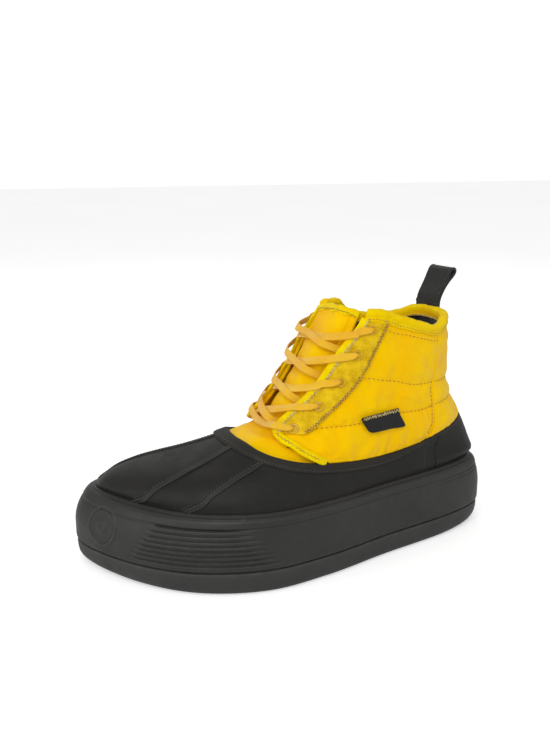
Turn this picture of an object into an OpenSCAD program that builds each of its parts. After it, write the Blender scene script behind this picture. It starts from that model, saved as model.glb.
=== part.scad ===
// Quilted winter duck boot for the left foot, one boot, laced and standing.
// +X points to the toe, +Y to the outer (lateral) side, +Z up.
// The origin is on the ground under the middle of the sole.

/* [Sole] */
// Height of the top edge of the rubber sidewall above the ground
side_height = 53; // [50:0.5:56]
// Thickness of the outsole slab below the sidewall
slab_height = 16.6; // [14:0.2:18]
// Thickness of the rubber sidewall
wall_thick = 4.2; // [3:0.1:4.6]
// Number of horizontal grooves on the outer forefoot
groove_count = 8; // [0:1:9]
// Depth of those grooves
groove_depth = 0.9; // [0.2:0.1:1.4]
// Spacing of those grooves
groove_pitch = 3.4; // [2.6:0.1:3.6]
// Depth of the tread channels in the ground face
tread_depth = 3; // [1:0.5:5]

/* [Rubber shell] */
// Thickness of the vamp and heel panels
shell_thick = 2.2; // [1.2:0.1:2.4]
// Width of each raised seam rib on the vamp
rib_width = 3.4; // [2.4:0.2:5]
// How far a seam rib stands proud
rib_thick = 1.3; // [0.6:0.1:2]
// Thickness of the band round the top of the shell
band_thick = 1.5; // [0.8:0.1:2.2]

/* [Quilted upper] */
// How far the quilted panels stand outside the last line
quilt_out = 1.2; // [0.4:0.1:1.6]
// Thickness of the tape that binds the edges of the facings
tape_thick = 1.8; // [1:0.1:2.2]
// Thickness of the tongue
tongue_thick = 5; // [3:0.5:6]
// Thickness of the padding inside the collar
foam_thick = 3; // [1.5:0.5:3.5]

/* [Lacing] */
// Outside diameter of an eyelet
eyelet_od = 7; // [6.8:0.2:8]
// Hole through an eyelet
eyelet_id = 3.8; // [3.6:0.1:4.2]
// Width of the flat lace
lace_width = 5.2; // [4:0.2:5.6]
// Thickness of the flat lace
lace_thick = 1.3; // [0.8:0.1:1.4]

/* [Loop and label] */
// Width of the webbing of the pull loop
loop_width = 24; // [18:1:26]
// Height of the pull loop above its anchor
loop_height = 24; // [22:1:32]
// How far the top of the loop leans backwards
loop_lean = -13; // [-15:0.5:-6]
// Thickness of the webbing
loop_thick = 1.6; // [1:0.1:2]
// Thickness of the side label
label_thick = 1.2; // [0.8:0.1:1.6]

/* [Hidden] */

// Colours shared by several nodes
SIDE_BLACK = [0.19,0.19,0.185];
VAMP_BLACK = [0.20,0.20,0.195];
STIFFENER_TAN = [0.55,0.50,0.42];
QUILT_GOLD = [1,0.80,0.0];
FACING_GOLD = [0.84,0.72,0.16];
TAPE_YELLOW = [0.96,0.90,0.10];
EYELET_GOLD = [0.93,0.78,0.12];

// Clearance between parts
gap = 0.3;

// --- coordinates of the upper ---------------------------------------------------
// u runs once round the boot: 0 at the back of the heel, about .25 on the outer side,
// .5 at the toe, about .75 on the inner side. w is the row number in SECTIONS.

// Widest outline of the sole [x, y], evenly spaced in u
SOLE_OUTLINE = [[-153,-1],[-145,22],[-112,37],[-50,50],[0,62],[48,66],[95,51],[132,19],
  [156,-24],[146,-52],[115,-55],[50,-52],[0,-46],[-50,-40],[-110,-39],[-144,-23]];
// Lean of the sidewall towards the foot at each of those points
SOLE_LEAN = [6,5,2.5,1,1.5,3,6,9.5,10.5,9.5,7,4,2,1.5,3,5];
// Bevel of the ground edge at each of those points
SOLE_BEVEL = [15,12,7,6,6,6,8,12,16,12,7,6,6,6,7,12];
// Sections of the upper at rising heights: height, back x, front x,
// outer and inner side factors, blend to the ankle oval,
// outer and inner half width of the oval, flare of the inner side of the throat
SECTIONS = [
  [44,-146.5,139,.89,.84,0,55,40,0], [54,-147,140.3,.89,.84,0,55,40,0],
  [60,-146,138,.86,.82,.05,54,39.5,0], [66,-144,131,.81,.78,.12,52.5,39,0],
  [71,-142,119,.76,.74,.20,51,38.5,0], [75,-140.5,104,.72,.70,.30,49,38,0],
  [79,-138.5,86,.68,.67,.42,47.5,37.5,0], [84,-136,69,.64,.64,.58,46,37,0],
  [90,-131.8,51,.60,.60,.75,44.5,36.5,0], [97,-126.8,36,.58,.58,.90,43,36,0],
  [106,-122.6,27,.56,.56,1,41.5,35.5,.05], [118,-118.6,15,.56,.56,1,40,35,.3],
  [133,-117.4,3,.56,.56,1,38.5,34.5,.7], [150,-117.6,-7,.56,.56,1,37,34,1.05],
  [165,-115.2,-18,.56,.56,1,36,34,1.4], [182,-112.8,-27,.56,.56,1,35.5,34,1.5]];
last_row = len(SECTIONS)-1;
// Points computed round each section
ring_points = 96;
// Direction and size of a throat flare of 1
FLARE = [3.6,-2,.5];

// --- curves -----------------------------------------------------------------------
function frac(a) = a - floor(a);
function clamp01(x) = max(0, min(1, x));
function mix(a, b, t) = a + (b-a)*t;
function smooth_step(x) = let(c=clamp01(x)) c*c*(3-2*c);
function signed_pow(a, power) = sign(a)*pow(abs(a), power);
function unit(v) = v/norm(v);
function reversed(list) = [for (i=[len(list)-1:-1:0]) list[i]];
// Catmull-Rom blend between b and c
function spline(a, b, c, d, f) = (-0.5*f+f*f-0.5*f*f*f)*a + (1-2.5*f*f+1.5*f*f*f)*b
  + (0.5*f+2*f*f-1.5*f*f*f)*c + (-0.5*f*f+0.5*f*f*f)*d;
// Value at u of a table that closes on itself
function around(table, u) = let(n=len(table), s=frac(u)*n, i=floor(s))
  spline(table[(i-1+n)%n], table[i%n], table[(i+1)%n], table[(i+2)%n], s-i);
function lean(u) = around(SOLE_LEAN, u);
function bevel(u) = around(SOLE_BEVEL, u);
// Point of the sole outline moved inwards
function inset_point(u, inset) =
  let(along=unit(around(SOLE_OUTLINE,u+.002)-around(SOLE_OUTLINE,u-.002)))
  around(SOLE_OUTLINE,u) + inset*[along[1],-along[0]];
function throat_flare(k, u) =
  SECTIONS[k][8]*smooth_step((u-.49)/.06)*smooth_step((.70-u)/.10)*FLARE;

// The two lowest sections follow the leaning sidewall, the others blend to the ankle oval
function section_point(k, u) = k <= 1
  ? let(p=inset_point(u, lean(u)+[6.2,5.2][k])) [p[0],p[1],SECTIONS[k][0]]
  : let(row=SECTIONS[k], sole=around(SOLE_OUTLINE,u), back=row[1], front=row[2], blend=row[5],
        foot_x=back+(sole[0]+153)/309*(front-back),
        foot_y=sole[1]*(sole[1]>0 ? row[3] : row[4]),
        oval_x=(back+front)/2-(front-back)/2*signed_pow(cos(360*u),.8),
        half_width=sin(360*u)>0 ? row[6] : row[7],
        oval_y=half_width*signed_pow(sin(360*u),.8)+2+.087*max(oval_x,-60))
    [mix(foot_x,oval_x,blend), mix(foot_y,oval_y,blend), row[0]] + throat_flare(k,u);
RINGS = [for (k=[0:last_row]) [for (i=[0:ring_points-1]) section_point(k, i/ring_points)]];

// Point of section k, carried on in a straight line past the first and last sections
function row_point(k, u) = around(RINGS[max(0,min(last_row,k))], u)
  + (k>last_row ? around(RINGS[last_row],u)-around(RINGS[last_row-1],u)
    : k<0 ? around(RINGS[0],u)-around(RINGS[1],u) : [0,0,0]);
function surf(u, w) = let(i=max(0,min(last_row-1,floor(w))))
  spline(row_point(i-1,u), row_point(i,u), row_point(i+1,u), row_point(i+2,u), w-i);
function normal(u, w) =
  unit(cross(surf(u,w+.05)-surf(u,w-.05), surf(u+.004,w)-surf(u-.004,w)));
// Point standing off the surface, outwards when positive
function off_surf(u, w, offset) = surf(u,w) + offset*normal(u,w);

// --- lines drawn on the surface ---------------------------------------------------
W_OF_HEIGHT = [for (k=[0:last_row]) [SECTIONS[k][0], k]];
function w_at(height) = lookup(height, W_OF_HEIGHT);
// Brings the inner side onto the same u range as the outer side
function fold(u) = let(f=frac(u)) f>.5 ? 1-f : f;

// Height of the top of the rubber shell [u, z]
SHELL_TOP = [[0,90],[.084,88.5],[.13,84],[.16,79.5],[.19,76],[.23,75.5],[.263,77],[.294,79],
  [.338,82.5],[.403,87.5],[.46,90.5],[.5,91]];
// Height of the band below that line [u, drop]
BAND_DROP = [[0,9],[.1,9],[.16,8],[.23,6.4],[.3,4.6],[.4,3.4],[.5,3.6]];
// Height of the collar rim on each side [u, z]
RIM_LATERAL = [[0,166.2],[.05,165.8],[.08,165],[.134,162],[.172,160],[.2,162.3],[.231,165.5],
  [.253,168.6],[.275,171.3],[.306,174.5],[.331,175],[.403,174.5]];
RIM_MEDIAL = [[0,166.2],[.05,165.8],[.10,164.2],[.15,160],[.2,158.5],[.24,159.5],[.265,161.8],
  [.29,167.6],[.31,171.4],[.34,171.6],[.403,171.6]];
// Front edge of the quarters: down the throat to the shell [w, u]
QUARTER_FRONT = [[5,.27],[5.9,.288],[6.35,.303],[7.15,.328],[8.15,.369],[8.75,.412],[9.1,.431],
  [9.5,.434],[10.35,.422],[11.1,.409],[12.15,.394],[13.25,.374],[13.75,.364],[15,.345]];
// Back edge of the gold facing [w, u]
FACING_BACK = [[8,.368],[8.75,.359],[9.95,.341],[10.75,.325],[11.6,.309],[12.4,.297],
  [13.55,.288],[15,.278]];
// Vamp seams beside the centre panel and further out [w, u]
CENTRE_SEAM = [[0,.441],[1,.441],[3.1,.435],[4.55,.436],[6.15,.449],[8,.465]];
SIDE_SEAM = [[0,.386],[1.4,.384],[2.65,.376],[3.9,.370],[5.3,.371],[7,.376],[8,.378]];
// Eyelets on the outer side, top to bottom [u, w]
EYELETS = [[.319,13.95],[.330,12.85],[.345,11.8],[.364,10.7],[.389,9.42]];

function shell_top(u) = w_at(lookup(fold(u), SHELL_TOP));
function band_foot(u) = w_at(lookup(fold(u), SHELL_TOP)-lookup(fold(u), BAND_DROP));
function rim(u) = w_at(lookup(fold(u), frac(u)>.5 ? RIM_MEDIAL : RIM_LATERAL));
function quarter_front(w) = lookup(w, QUARTER_FRONT);
function centre_seam(w) = lookup(w, CENTRE_SEAM);
function side_seam(w) = lookup(w, SIDE_SEAM);

// --- solids from points -----------------------------------------------------------
function quad(a, b, c, d) = [[a,b,c],[a,c,d]];

// Closed solid between an outer and an inner grid of points
module grid_solid(outer, inner) {
  rows = len(outer);
  cols = len(outer[0]);
  k = rows*cols;
  end_i = rows-1;
  end_j = cols-1;
  function at(i, j) = i*cols+j;
  polyhedron(points=concat([for (r=outer) each r], [for (r=inner) each r]), faces=concat(
    [for (i=[0:rows-2], j=[0:cols-2]) each quad(at(i,j), at(i+1,j), at(i+1,j+1), at(i,j+1))],
    [for (i=[0:rows-2], j=[0:cols-2])
      each quad(k+at(i,j), k+at(i,j+1), k+at(i+1,j+1), k+at(i+1,j))],
    [for (i=[0:rows-2]) each quad(at(i,0), k+at(i,0), k+at(i+1,0), at(i+1,0))],
    [for (i=[0:rows-2])
      each quad(at(i,end_j), at(i+1,end_j), k+at(i+1,end_j), k+at(i,end_j))],
    [for (j=[0:cols-2]) each quad(at(0,j), at(0,j+1), k+at(0,j+1), k+at(0,j))],
    [for (j=[0:cols-2])
      each quad(at(end_i,j), k+at(end_i,j), k+at(end_i,j+1), at(end_i,j+1))]), convexity=6);
}

// Closed ring of profile loops, running right round the boot
module ring_solid(loops) {
  n = len(loops);
  m = len(loops[0]);
  polyhedron(points=[for (r=loops) each r], faces=[for (i=[0:n-1], j=[0:m-1])
    let(here=i*m, next=((i+1)%n)*m, j2=(j+1)%m)
    each quad(here+j, next+j, next+j2, here+j2)], convexity=10);
}

// Chain of closed loops with flat ends
module stack_solid(loops, convexity=10) {
  n = len(loops);
  m = len(loops[0]);
  polyhedron(points=[for (r=loops) each r], faces=concat(
    [[for (i=[0:m-1]) i]], [[for (i=[m-1:-1:0]) (n-1)*m+i]],
    [for (k=[0:n-2], i=[0:m-1]) let(a=k*m+i, b=k*m+(i+1)%m) each quad(a, a+m, b+m, b)]),
    convexity=convexity);
}

// A patch line that stays put, and an offset that is the same everywhere
function fixed(a) = function(x) a;
function flat(a) = function(u,w,s,t) a;

// The u edges depend on w and the w edges on u, so four rounds settle the point at s, t
function patch_uw(u_from, u_to, w_from, w_to, s, t, u, rounds=4) =
  let(w=mix(w_from(u),w_to(u),t), u_next=mix(u_from(w),u_to(w),s))
  rounds==1 ? [u_next,w] : patch_uw(u_from, u_to, w_from, w_to, s, t, u_next, rounds-1);

// Patch of the upper between four lines, with its outer and inner offsets.
// medial mirrors the u edges to the inner side.
module patch(u_from, u_to, w_from, w_to, nu, nw, outer, inner, medial=false) {
  first = medial ? function(w) 1-u_to(w) : u_from;
  last = medial ? function(w) 1-u_from(w) : u_to;
  middle = (first(5)+last(5))/2;
  // Each cell: surface point, normal, outer offset, inner offset
  cells = [for (i=[0:nu]) [for (j=[0:nw])
    let(s=i/nu, t=j/nw, p=patch_uw(first,last,w_from,w_to,s,t,middle), u=p[0], w=p[1])
    [surf(u,w), normal(u,w), outer(u,w,s,t), inner(u,w,s,t)]]];
  function face(column) = [for (row=cells) [for (c=row) c[0]+c[column]*c[1]]];
  grid_solid(face(2), face(3));
}

// Strip with lowered edges along a list of [u, w] points on the surface
module strip(path, width, base, crest) {
  n = len(path);
  edge = mix(base, crest, .45);
  points = [for (p=path) surf(p[0],p[1])];
  normals = [for (p=path) normal(p[0],p[1])];
  across = [for (i=[0:n-1]) unit(cross(normals[i], points[min(n-1,i+1)]-points[max(0,i-1)]))];
  function side(profile) = [for (i=[0:n-1]) [for (p=profile)
    points[i]+across[i]*p[0]*width/2+normals[i]*p[1]]];
  grid_solid(side([[-1,edge],[-.5,crest],[.5,crest],[1,edge]]),
             side([for (x=[-1,-.5,.5,1]) [x,base]]));
}

// --- sole unit --------------------------------------------------------------------
sole_points = 72;
// Insets of the sidewall's inner face, outside the lean: low down and at the top
inner_low_inset = 3.6+wall_thick;
inner_top_inset = wall_thick+.3;
// Heights where the inner and outer faces start to lean, and where the inner one stops
inner_lean_z = 26;
inner_top_z = side_height-9;
outer_lean_z = 30;
// Inset of the plain outer face
side_inset = .12;
first_groove_z = slab_height+5.6;
foam_top = 36;
shank_at = [-77,-8,34.5];
shank_size = [110,16,1.2];
board_z = 36.4;
board_thick = 2;
// Tread channels: x, y, length, width
TREAD = concat([for (x=[-118,-96,-74,52,74,96,118]) [x,-80,4,160]],
  [[-160,-1,92,3.5],[48,-3,120,3.5]]);

// Sole outline at one height; inset is a function of u
function sole_ring(z, inset) = [for (i=[0:sole_points-1])
  let(p=inset_point(i/sole_points, inset(i/sole_points))) [p[0],p[1],z]];

module outsole() color([0.17,0.17,0.165]) difference() {
  stack_solid([
    sole_ring(0, function(u) bevel(u)*.62+1.5),
    sole_ring(1.2, function(u) bevel(u)*.42+1),
    sole_ring(4, function(u) bevel(u)*.19+.9),
    sole_ring(8, fixed(1.6)),
    sole_ring(slab_height-2.4, fixed(.9)),
    sole_ring(slab_height-1, fixed(1.5)),
    sole_ring(slab_height, fixed(3))]);
  for (c=TREAD) translate([c[0],c[1],-1]) cube([c[2],c[3],tread_depth+1]);
}

// Fades the forefoot grooves in and out along the outer side
function groove_share(u, z) =
  clamp01((.452-.0016*(z-22)-u)/.012)*clamp01((u-.30)/.02);
// Outer face from the bottom up [z, inset before the lean]
function outer_face(u) = concat(
  [[slab_height+gap,1.7], [slab_height+2.2,.6], [slab_height+4,side_inset]],
  [for (k=[0:groove_count-1]) let(z=first_groove_z+k*groove_pitch) each
    [[z, side_inset+groove_depth*groove_share(u,z)], [z+groove_pitch/2, side_inset]]],
  [[side_height-7.2,side_inset], [side_height-6,1.22], [side_height-4.8,-.38],
   [side_height-2.4,-.38], [side_height-.6,.12], [side_height,1.62]]);
function lean_share(z) = .98*pow(max(0,(z-outer_lean_z)/(side_height-outer_lean_z)), 2);
// Whole section of the sidewall: up the outer face and down the inner one [z, inset]
function sidewall_profile(u) = concat(
  [for (s=outer_face(u)) [s[0], s[1]+lean(u)*lean_share(s[0])]],
  [[side_height-.4,lean(u)+wall_thick-.3], [inner_top_z,lean(u)+inner_top_inset],
   [inner_lean_z,inner_low_inset], [slab_height+gap,3+wall_thick]]);
module sidewall() color(SIDE_BLACK) ring_solid([for (i=[0:sole_points-1])
  let(u=i/sole_points) [for (s=reversed(sidewall_profile(u)))
    let(p=inset_point(u,s[1])) [p[0],p[1],s[0]]]]);

// Inset that clears the inner face of the sidewall
function foam_inset(u, z) = max(3.9+wall_thick, gap+.2+mix(inner_low_inset,
  lean(u)+inner_top_inset, clamp01((z-inner_lean_z)/(inner_top_z-inner_lean_z))));
module midsole_foam() color([0.86,0.84,0.78]) difference() {
  stack_solid([for (z=[slab_height+gap,20,inner_lean_z,31,foam_top])
    sole_ring(z, function(u) foam_inset(u,z))]);
  // Pocket for the shank
  translate(shank_at-[1,1,gap]) cube([shank_size[0]+2,shank_size[1]+2,5]);
}
module shank() color([0.62,0.63,0.65]) translate(shank_at) cube(shank_size);
module lasting_board() color([0.72,0.63,0.48])
  stack_solid([for (z=[board_z,board_z+board_thick])
    sole_ring(z, function(u) lean(u)+wall_thick+6.2)]);

// The footbed thickens towards the heel
function footbed_thick(x) = 6.2+3.2*clamp01((-x-20)/80);
// Layers: extra inset, share of the thickness
module footbed() color([0.13,0.13,0.14]) stack_solid([for (layer=[[8.2,0],[8.2,.86],[9.8,1]])
  [for (p=sole_ring(0, function(u) lean(u)+wall_thick+layer[0]))
    [p[0],p[1], board_z+board_thick+gap+layer[1]*footbed_thick(p[0])]]]);

// --- rubber shell -----------------------------------------------------------------
// Half of the hairline left between neighbouring panels, in u
hairline = .0016;
// Edge of the heel panel, in u
heel_edge = .140;
// Lower edge of the parts inside the shell, in w
inside_foot = 1.1;
// Span of the seam ribs, in w
rib_from = 1.9;
rib_to = 6.3;
band_points = 84;

module shell_panel(u_from, u_to, columns, medial=false)
  patch(u_from, u_to, fixed(.1), function(u) shell_top(u)-.02, columns, 11,
    flat(0), flat(-shell_thick), medial);
module vamp_inner(medial) shell_panel(function(w) side_seam(w)+hairline,
  function(w) centre_seam(w)-hairline, 6, medial);
module vamp_outer(medial) shell_panel(fixed(heel_edge+hairline),
  function(w) side_seam(w)-hairline, 18, medial);

module vamp_center() color(VAMP_BLACK) shell_panel(
  function(w) centre_seam(w)+hairline, function(w) 1-centre_seam(w)-hairline, 12);
module vamp_inner_lateral() color(VAMP_BLACK) vamp_inner(false);
module vamp_inner_medial() color(VAMP_BLACK) vamp_inner(true);
module vamp_outer_lateral() color(VAMP_BLACK) vamp_outer(false);
module vamp_outer_medial() color(VAMP_BLACK) vamp_outer(true);
module heel_panel() color(SIDE_BLACK)
  shell_panel(fixed(-heel_edge+hairline), fixed(heel_edge-hairline), 14);
module vamp_seam_ribs() color([0.22,0.22,0.215])
  for (medial=[false,true], seam=[CENTRE_SEAM,SIDE_SEAM])
    strip([for (k=[0:11]) let(w=mix(rib_from,rib_to,k/11), u=lookup(w,seam))
      [medial ? 1-u : u, w]], rib_width, .15, .15+rib_thick);
module shell_band() color([0.16,0.16,0.155]) ring_solid([for (i=[0:band_points-1])
  let(u=i/band_points, foot=band_foot(u), top=shell_top(u)-.06)
  [off_surf(u, foot, .45), off_surf(u, top, .45), off_surf(u, top, .3+band_thick*.8),
   off_surf(u, (foot+2*top)/3, .3+band_thick), off_surf(u, (2*foot+top)/3, .3+band_thick),
   off_surf(u, foot, .3+band_thick*.6)]]);
module toe_puff() color(STIFFENER_TAN) patch(fixed(.40), fixed(.60), fixed(inside_foot),
  fixed(4.1), 10, 4, flat(-shell_thick-.7), flat(-shell_thick-1.7));
module heel_counter() color(STIFFENER_TAN) patch(fixed(-.13), fixed(.13), fixed(inside_foot),
  fixed(6.6), 10, 5, flat(-shell_thick-.7), flat(-shell_thick-1.9));
module vamp_lining() color([0.12,0.12,0.125]) patch(fixed(.17), fixed(.83),
  fixed(inside_foot), function(u) min(6.2,shell_top(u)-1.2), 26, 6,
  flat(-shell_thick-4.3), flat(-shell_thick-5.3));

// --- quilted upper ----------------------------------------------------------------
quilt_in = -2.2;
// Offset at which trim rests on the quilt
on_quilt = quilt_out+gap;
facing_thick = 1.1;
// Edge of the back panel, in u
back_edge = .157;
// Widths of the tape and of the strip left clear for it, in u
tape_span = .0145;
tape_room = .017;
eyelet_hole_d = 6;
eyelet_barrel_r = 2.65;
eyelet_top = 1.75;

// The quilted panels thin out at the foot, where they meet the shell
module quilt_patch(u_from, u_to, columns, medial=false)
  patch(u_from, u_to, function(u) shell_top(u)+.14, function(u) rim(u)-.28, columns, 12,
    function(u,w,s,t) quilt_out*min(1,.25+6*t), flat(quilt_in), medial);
// Places its children at each eyelet of one side, with their Z along the normal
module at_eyelets(medial, offset=0) for (e=EYELETS) {
  u = medial ? 1-e[0] : e[0];
  out = normal(u, e[1]);
  translate(off_surf(u,e[1],offset)) rotate([0,acos(out[2]),atan2(out[1],out[0])]) children();
}
module eyelet_holes(medial)
  at_eyelets(medial) translate([0,0,-9]) cylinder(d=eyelet_hole_d, h=18, $fn=24);

module quarter(medial) difference() {
  quilt_patch(fixed(back_edge+.0025), function(w) quarter_front(w)-.006, 16, medial);
  eyelet_holes(medial);
}
module quarter_lateral() color(QUILT_GOLD) quarter(false);
module quarter_medial() color(QUILT_GOLD) quarter(true);
module back_panel() color(QUILT_GOLD) quilt_patch(fixed(-back_edge), fixed(back_edge), 12);

throat_edge = function(w) lookup(w, [[7.3,.322],[8.1,.374]]);
// The throat panel drops behind the quarters at its sides and under the laces at its top
function throat_offset(depth) = function(u,w,s,t) -2.8-clamp01((abs(u-.5)-.05)/.03)
  -2.9*clamp01((w-8.5)/.5)*clamp01((w-shell_top(u)-.2)/.4)-depth;
module throat_panel() color([1,0.82,0.05]) patch(throat_edge, function(w) 1-throat_edge(w),
  function(u) shell_top(u)+.14, function(u) max(9.7,shell_top(u)+.5), 18, 7,
  throat_offset(0), throat_offset(1.5));

module facing(medial) difference() {
  patch(function(w) lookup(w,FACING_BACK), function(w) quarter_front(w)-tape_room,
    fixed(8.95), function(u) rim(u)-.33, 4, 12,
    flat(on_quilt+facing_thick), flat(on_quilt), medial);
  eyelet_holes(medial);
}
module facing_lateral() color(FACING_GOLD) facing(false);
module facing_medial() color(FACING_GOLD) facing(true);

// The tape is thinner along both edges
module facing_tape(medial)
  patch(function(w) quarter_front(w)-tape_span, function(w) quarter_front(w),
    fixed(6.9), function(u) rim(u)-.33, 2, 26,
    function(u,w,s,t) on_quilt+tape_thick*(s<.01||s>.99 ? .55 : 1), flat(on_quilt), medial);
module facing_tape_lateral() color(TAPE_YELLOW) facing_tape(false);
module facing_tape_medial() color(TAPE_YELLOW) facing_tape(true);

module eyelet() rotate_extrude($fn=36) polygon([[eyelet_id/2,-3.3], [eyelet_barrel_r,-3.3],
  [eyelet_barrel_r,1.15], [eyelet_od/2,1.15], [eyelet_od/2-.5,1.7],
  [eyelet_id/2+.4,eyelet_top], [eyelet_id/2,1.3]]);
module eyelets(medial) at_eyelets(medial, on_quilt+.4) eyelet();
module eyelets_lateral() color(EYELET_GOLD) eyelets(false);
module eyelets_medial() color(EYELET_GOLD) eyelets(true);

// --- tongue -----------------------------------------------------------------------
// The tongue lies nearer the outer side and is lightly crowned
function tongue_crown(u) = let(a=abs(u-.478)/.085) a<1 ? 3.8*pow((cos(180*a)+1)/2,.8) : 0;
function tongue_offset(depth) =
  function(u,w,s,t) -6+tongue_crown(u)*clamp01((w-10)/.9)-depth;
tongue_lateral =
  function(w) lookup(w, [[9,.415],[10,.402],[12,.386],[14,.376],[15.2,.376]]);
tongue_medial =
  function(w) lookup(w, [[9,.585],[10,.597],[12,.580],[13,.562],[14,.549],[15.2,.546]]);
tongue_top = function(u) 14.5-3*pow(abs(u-.462)*4,2.4);
module tongue() color([1,0.80,0.03]) patch(tongue_lateral, tongue_medial, fixed(9.97),
  tongue_top, 16, 12, tongue_offset(0), tongue_offset(tongue_thick));
module tongue_binding() color(TAPE_YELLOW) patch(tongue_lateral, tongue_medial,
  function(u) tongue_top(u)+.02, function(u) tongue_top(u)+.28, 16, 1,
  tongue_offset(-.5), tongue_offset(tongue_thick+.4));

// --- lace -------------------------------------------------------------------------
// Offsets of the lace over the facings and under the quilt
lace_over = on_quilt+facing_thick+eyelet_top+lace_thick/2-.5;
lace_under = quilt_in-lace_thick/2-1.5;
// Offsets at the middle of a crossing, starting from the inner or the outer side
high_cross = 3.7;
low_cross = 1.5;
// Section of the lace as shares of its half width and half thickness
LACE_SECTION = [[1,0],[.62,1],[-.62,1],[-1,0],[-.62,-1],[.62,-1]];

// Lace station: point, direction of the width, width, thickness
function station(u, w, offset, width=lace_width, thick=lace_thick) =
  [off_surf(u,w,offset), unit(surf(u,w+.1)-surf(u,w-.1)), width, thick];
// Narrow lace up through an eyelet, then spreading; side is 1 outer, -1 inner
function eyelet_exit(u, w, side, drop, lift) = [
  station(u, w, -2.6, 2.5, 1.3),
  station(u, w, 3.9, 2.4, 1.3),
  station(u+side*.006, w-drop/5, lace_over+1.1, 3.2, 1.3),
  station(u+side*.017, w-drop, lace_over+lift, lace_width*.9)];
// One crossing, from under the hole of row i to under the opposite hole of row i+1
function crossing(i, medial) = let(a=EYELETS[i], b=EYELETS[i+1], side=medial ? -1 : 1,
    u_start=medial ? 1-a[0] : a[0], u_end=medial ? b[0] : 1-b[0],
    front_a=quarter_front(a[1]-.25), front_b=quarter_front(b[1]+.30),
    edge_a=medial ? 1-front_a : front_a, edge_b=medial ? front_b : 1-front_b,
    mid_w=(a[1]+b[1])/2, mid_offset=medial ? high_cross : low_cross)
  concat(eyelet_exit(u_start, a[1], side, .05, .15), [
    station(edge_a, a[1]-.22, lace_over-.2),
    station(mix(edge_a,.5,.55), mix(a[1]-.25,mid_w,.55), mix(lace_over,mid_offset,.75)),
    station(.5, mid_w, mid_offset),
    station(mix(.5,edge_b,.45), mix(mid_w,b[1]+.2,.5), mid_offset-1.3),
    station(edge_b, b[1]+.2, lace_under+.35),
    station(u_end-side*.018, b[1]+.02, lace_under, lace_width*.8)]);
// Straight bar across the lowest row
function bottom_bar() = let(e=EYELETS[4], u=e[0], w=e[1], edge=quarter_front(w))
  concat(eyelet_exit(u, w, 1, 0, .35), [
    station(edge, w+.02, lace_over+.4),
    station(.5, w, -1.0),
    station(1-edge, w+.02, lace_over+.4)],
    reversed(eyelet_exit(1-u, w, -1, 0, .35)));
// Half of the lace zigzagging down all the rows
function zigzag(start) = [for (i=[0:3]) each crossing(i, i%2==start)];
LACE_PATH = concat(zigzag(0), reversed(bottom_bar()), reversed(zigzag(1)));

function lace_blend(i, f) =
  let(near=[for (k=[i-1:i+2]) LACE_PATH[max(0,min(len(LACE_PATH)-1,k))]])
  [for (j=[0:3]) spline(near[0][j], near[1][j], near[2][j], near[3][j], f)];
module lace() color([0.99,0.76,0.16]) {
  last = len(LACE_PATH)-2;
  path = concat([for (i=[0:last], f=[0,.5]) lace_blend(i,f)], [lace_blend(last,1)]);
  n = len(path);
  stack_solid([for (i=[0:n-1])
    let(along=unit(path[min(n-1,i+1)][0]-path[max(0,i-1)][0]), p=path[i],
        across=unit(p[1]-along*(p[1]*along)), up=cross(along,across))
    [for (c=LACE_SECTION) p[0]+across*c[0]*p[2]/2+up*c[1]*p[3]/2]], convexity=20);
}

// --- collar -----------------------------------------------------------------------
// The collar runs this far in u each way from the back
collar_reach = .352;
collar_in = quilt_in-foam_thick-1.2;
// Chain of n steps round the back; section gives the loop of points at u
module collar_strip(n, reach, section)
  stack_solid([for (i=[0:n]) section(mix(-reach, reach, i/n))]);
module collar_binding() color(TAPE_YELLOW) collar_strip(44, collar_reach,
  function(u) let(edge=rim(u)) [
    off_surf(u, edge-.26, quilt_out), off_surf(u, edge-.26, collar_in-1),
    off_surf(u, edge-.02, collar_in-1.3), off_surf(u, edge+.16, collar_in+.4),
    off_surf(u, edge+.2, (collar_in+quilt_out)/2), off_surf(u, edge+.14, quilt_out),
    off_surf(u, edge-.05, quilt_out+.5)]);
module collar_foam() color([0.95,0.93,0.82]) collar_strip(32, .76*collar_reach,
  function(u) let(edge=rim(u), inside=quilt_in-.1-foam_thick) [
    off_surf(u, edge-2.3, quilt_in-.7), off_surf(u, edge-2.3, quilt_in-.6-foam_thick*.4),
    off_surf(u, edge-1.7, inside), off_surf(u, edge-.36, inside),
    off_surf(u, edge-.36, quilt_in-.7)]);
module collar_lining() color([0.10,0.10,0.105]) patch(fixed(-.330), fixed(.330),
  function(u) shell_top(u)-.9, function(u) rim(u)-.37, 26, 7,
  flat(collar_in), flat(collar_in-1));

// --- loop and label ---------------------------------------------------------------
// The loop sits behind the heel, a little to the inner side
loop_u = .972;
loop_base = off_surf(loop_u, rim(loop_u)+.2, -.6);
loop_normal = normal(loop_u, rim(loop_u));
anchor_size = [2.4,loop_width,2.6];
// Outside diameter of the rounded top of the loop
loop_top_d = 8;
// Puts children over the loop base, with X pointing into the boot
module at_loop(rise) translate(loop_base+[0,0,rise])
  rotate([0,0,atan2(-loop_normal[1],-loop_normal[0])]) children();
module loop_anchor() color([0.12,0.12,0.12])
  at_loop(1) translate([-anchor_size[0]/2,-loop_width/2,0]) cube(anchor_size);
module pull_loop() color([0.14,0.14,0.14])
  at_loop(5.4) rotate([90,0,0]) translate([0,0,-loop_width/2])
    linear_extrude(loop_width) difference() {
      hull() {
        translate([0,.1]) circle(d=2.6, $fn=24);
        translate([loop_lean,loop_height-5]) circle(d=loop_top_d, $fn=32);
      }
      hull() {
        translate([loop_lean*.28,6.2]) circle(d=.6, $fn=16);
        translate([loop_lean,loop_height-5]) circle(d=loop_top_d-2*loop_thick, $fn=32);
      }
    }

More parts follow.
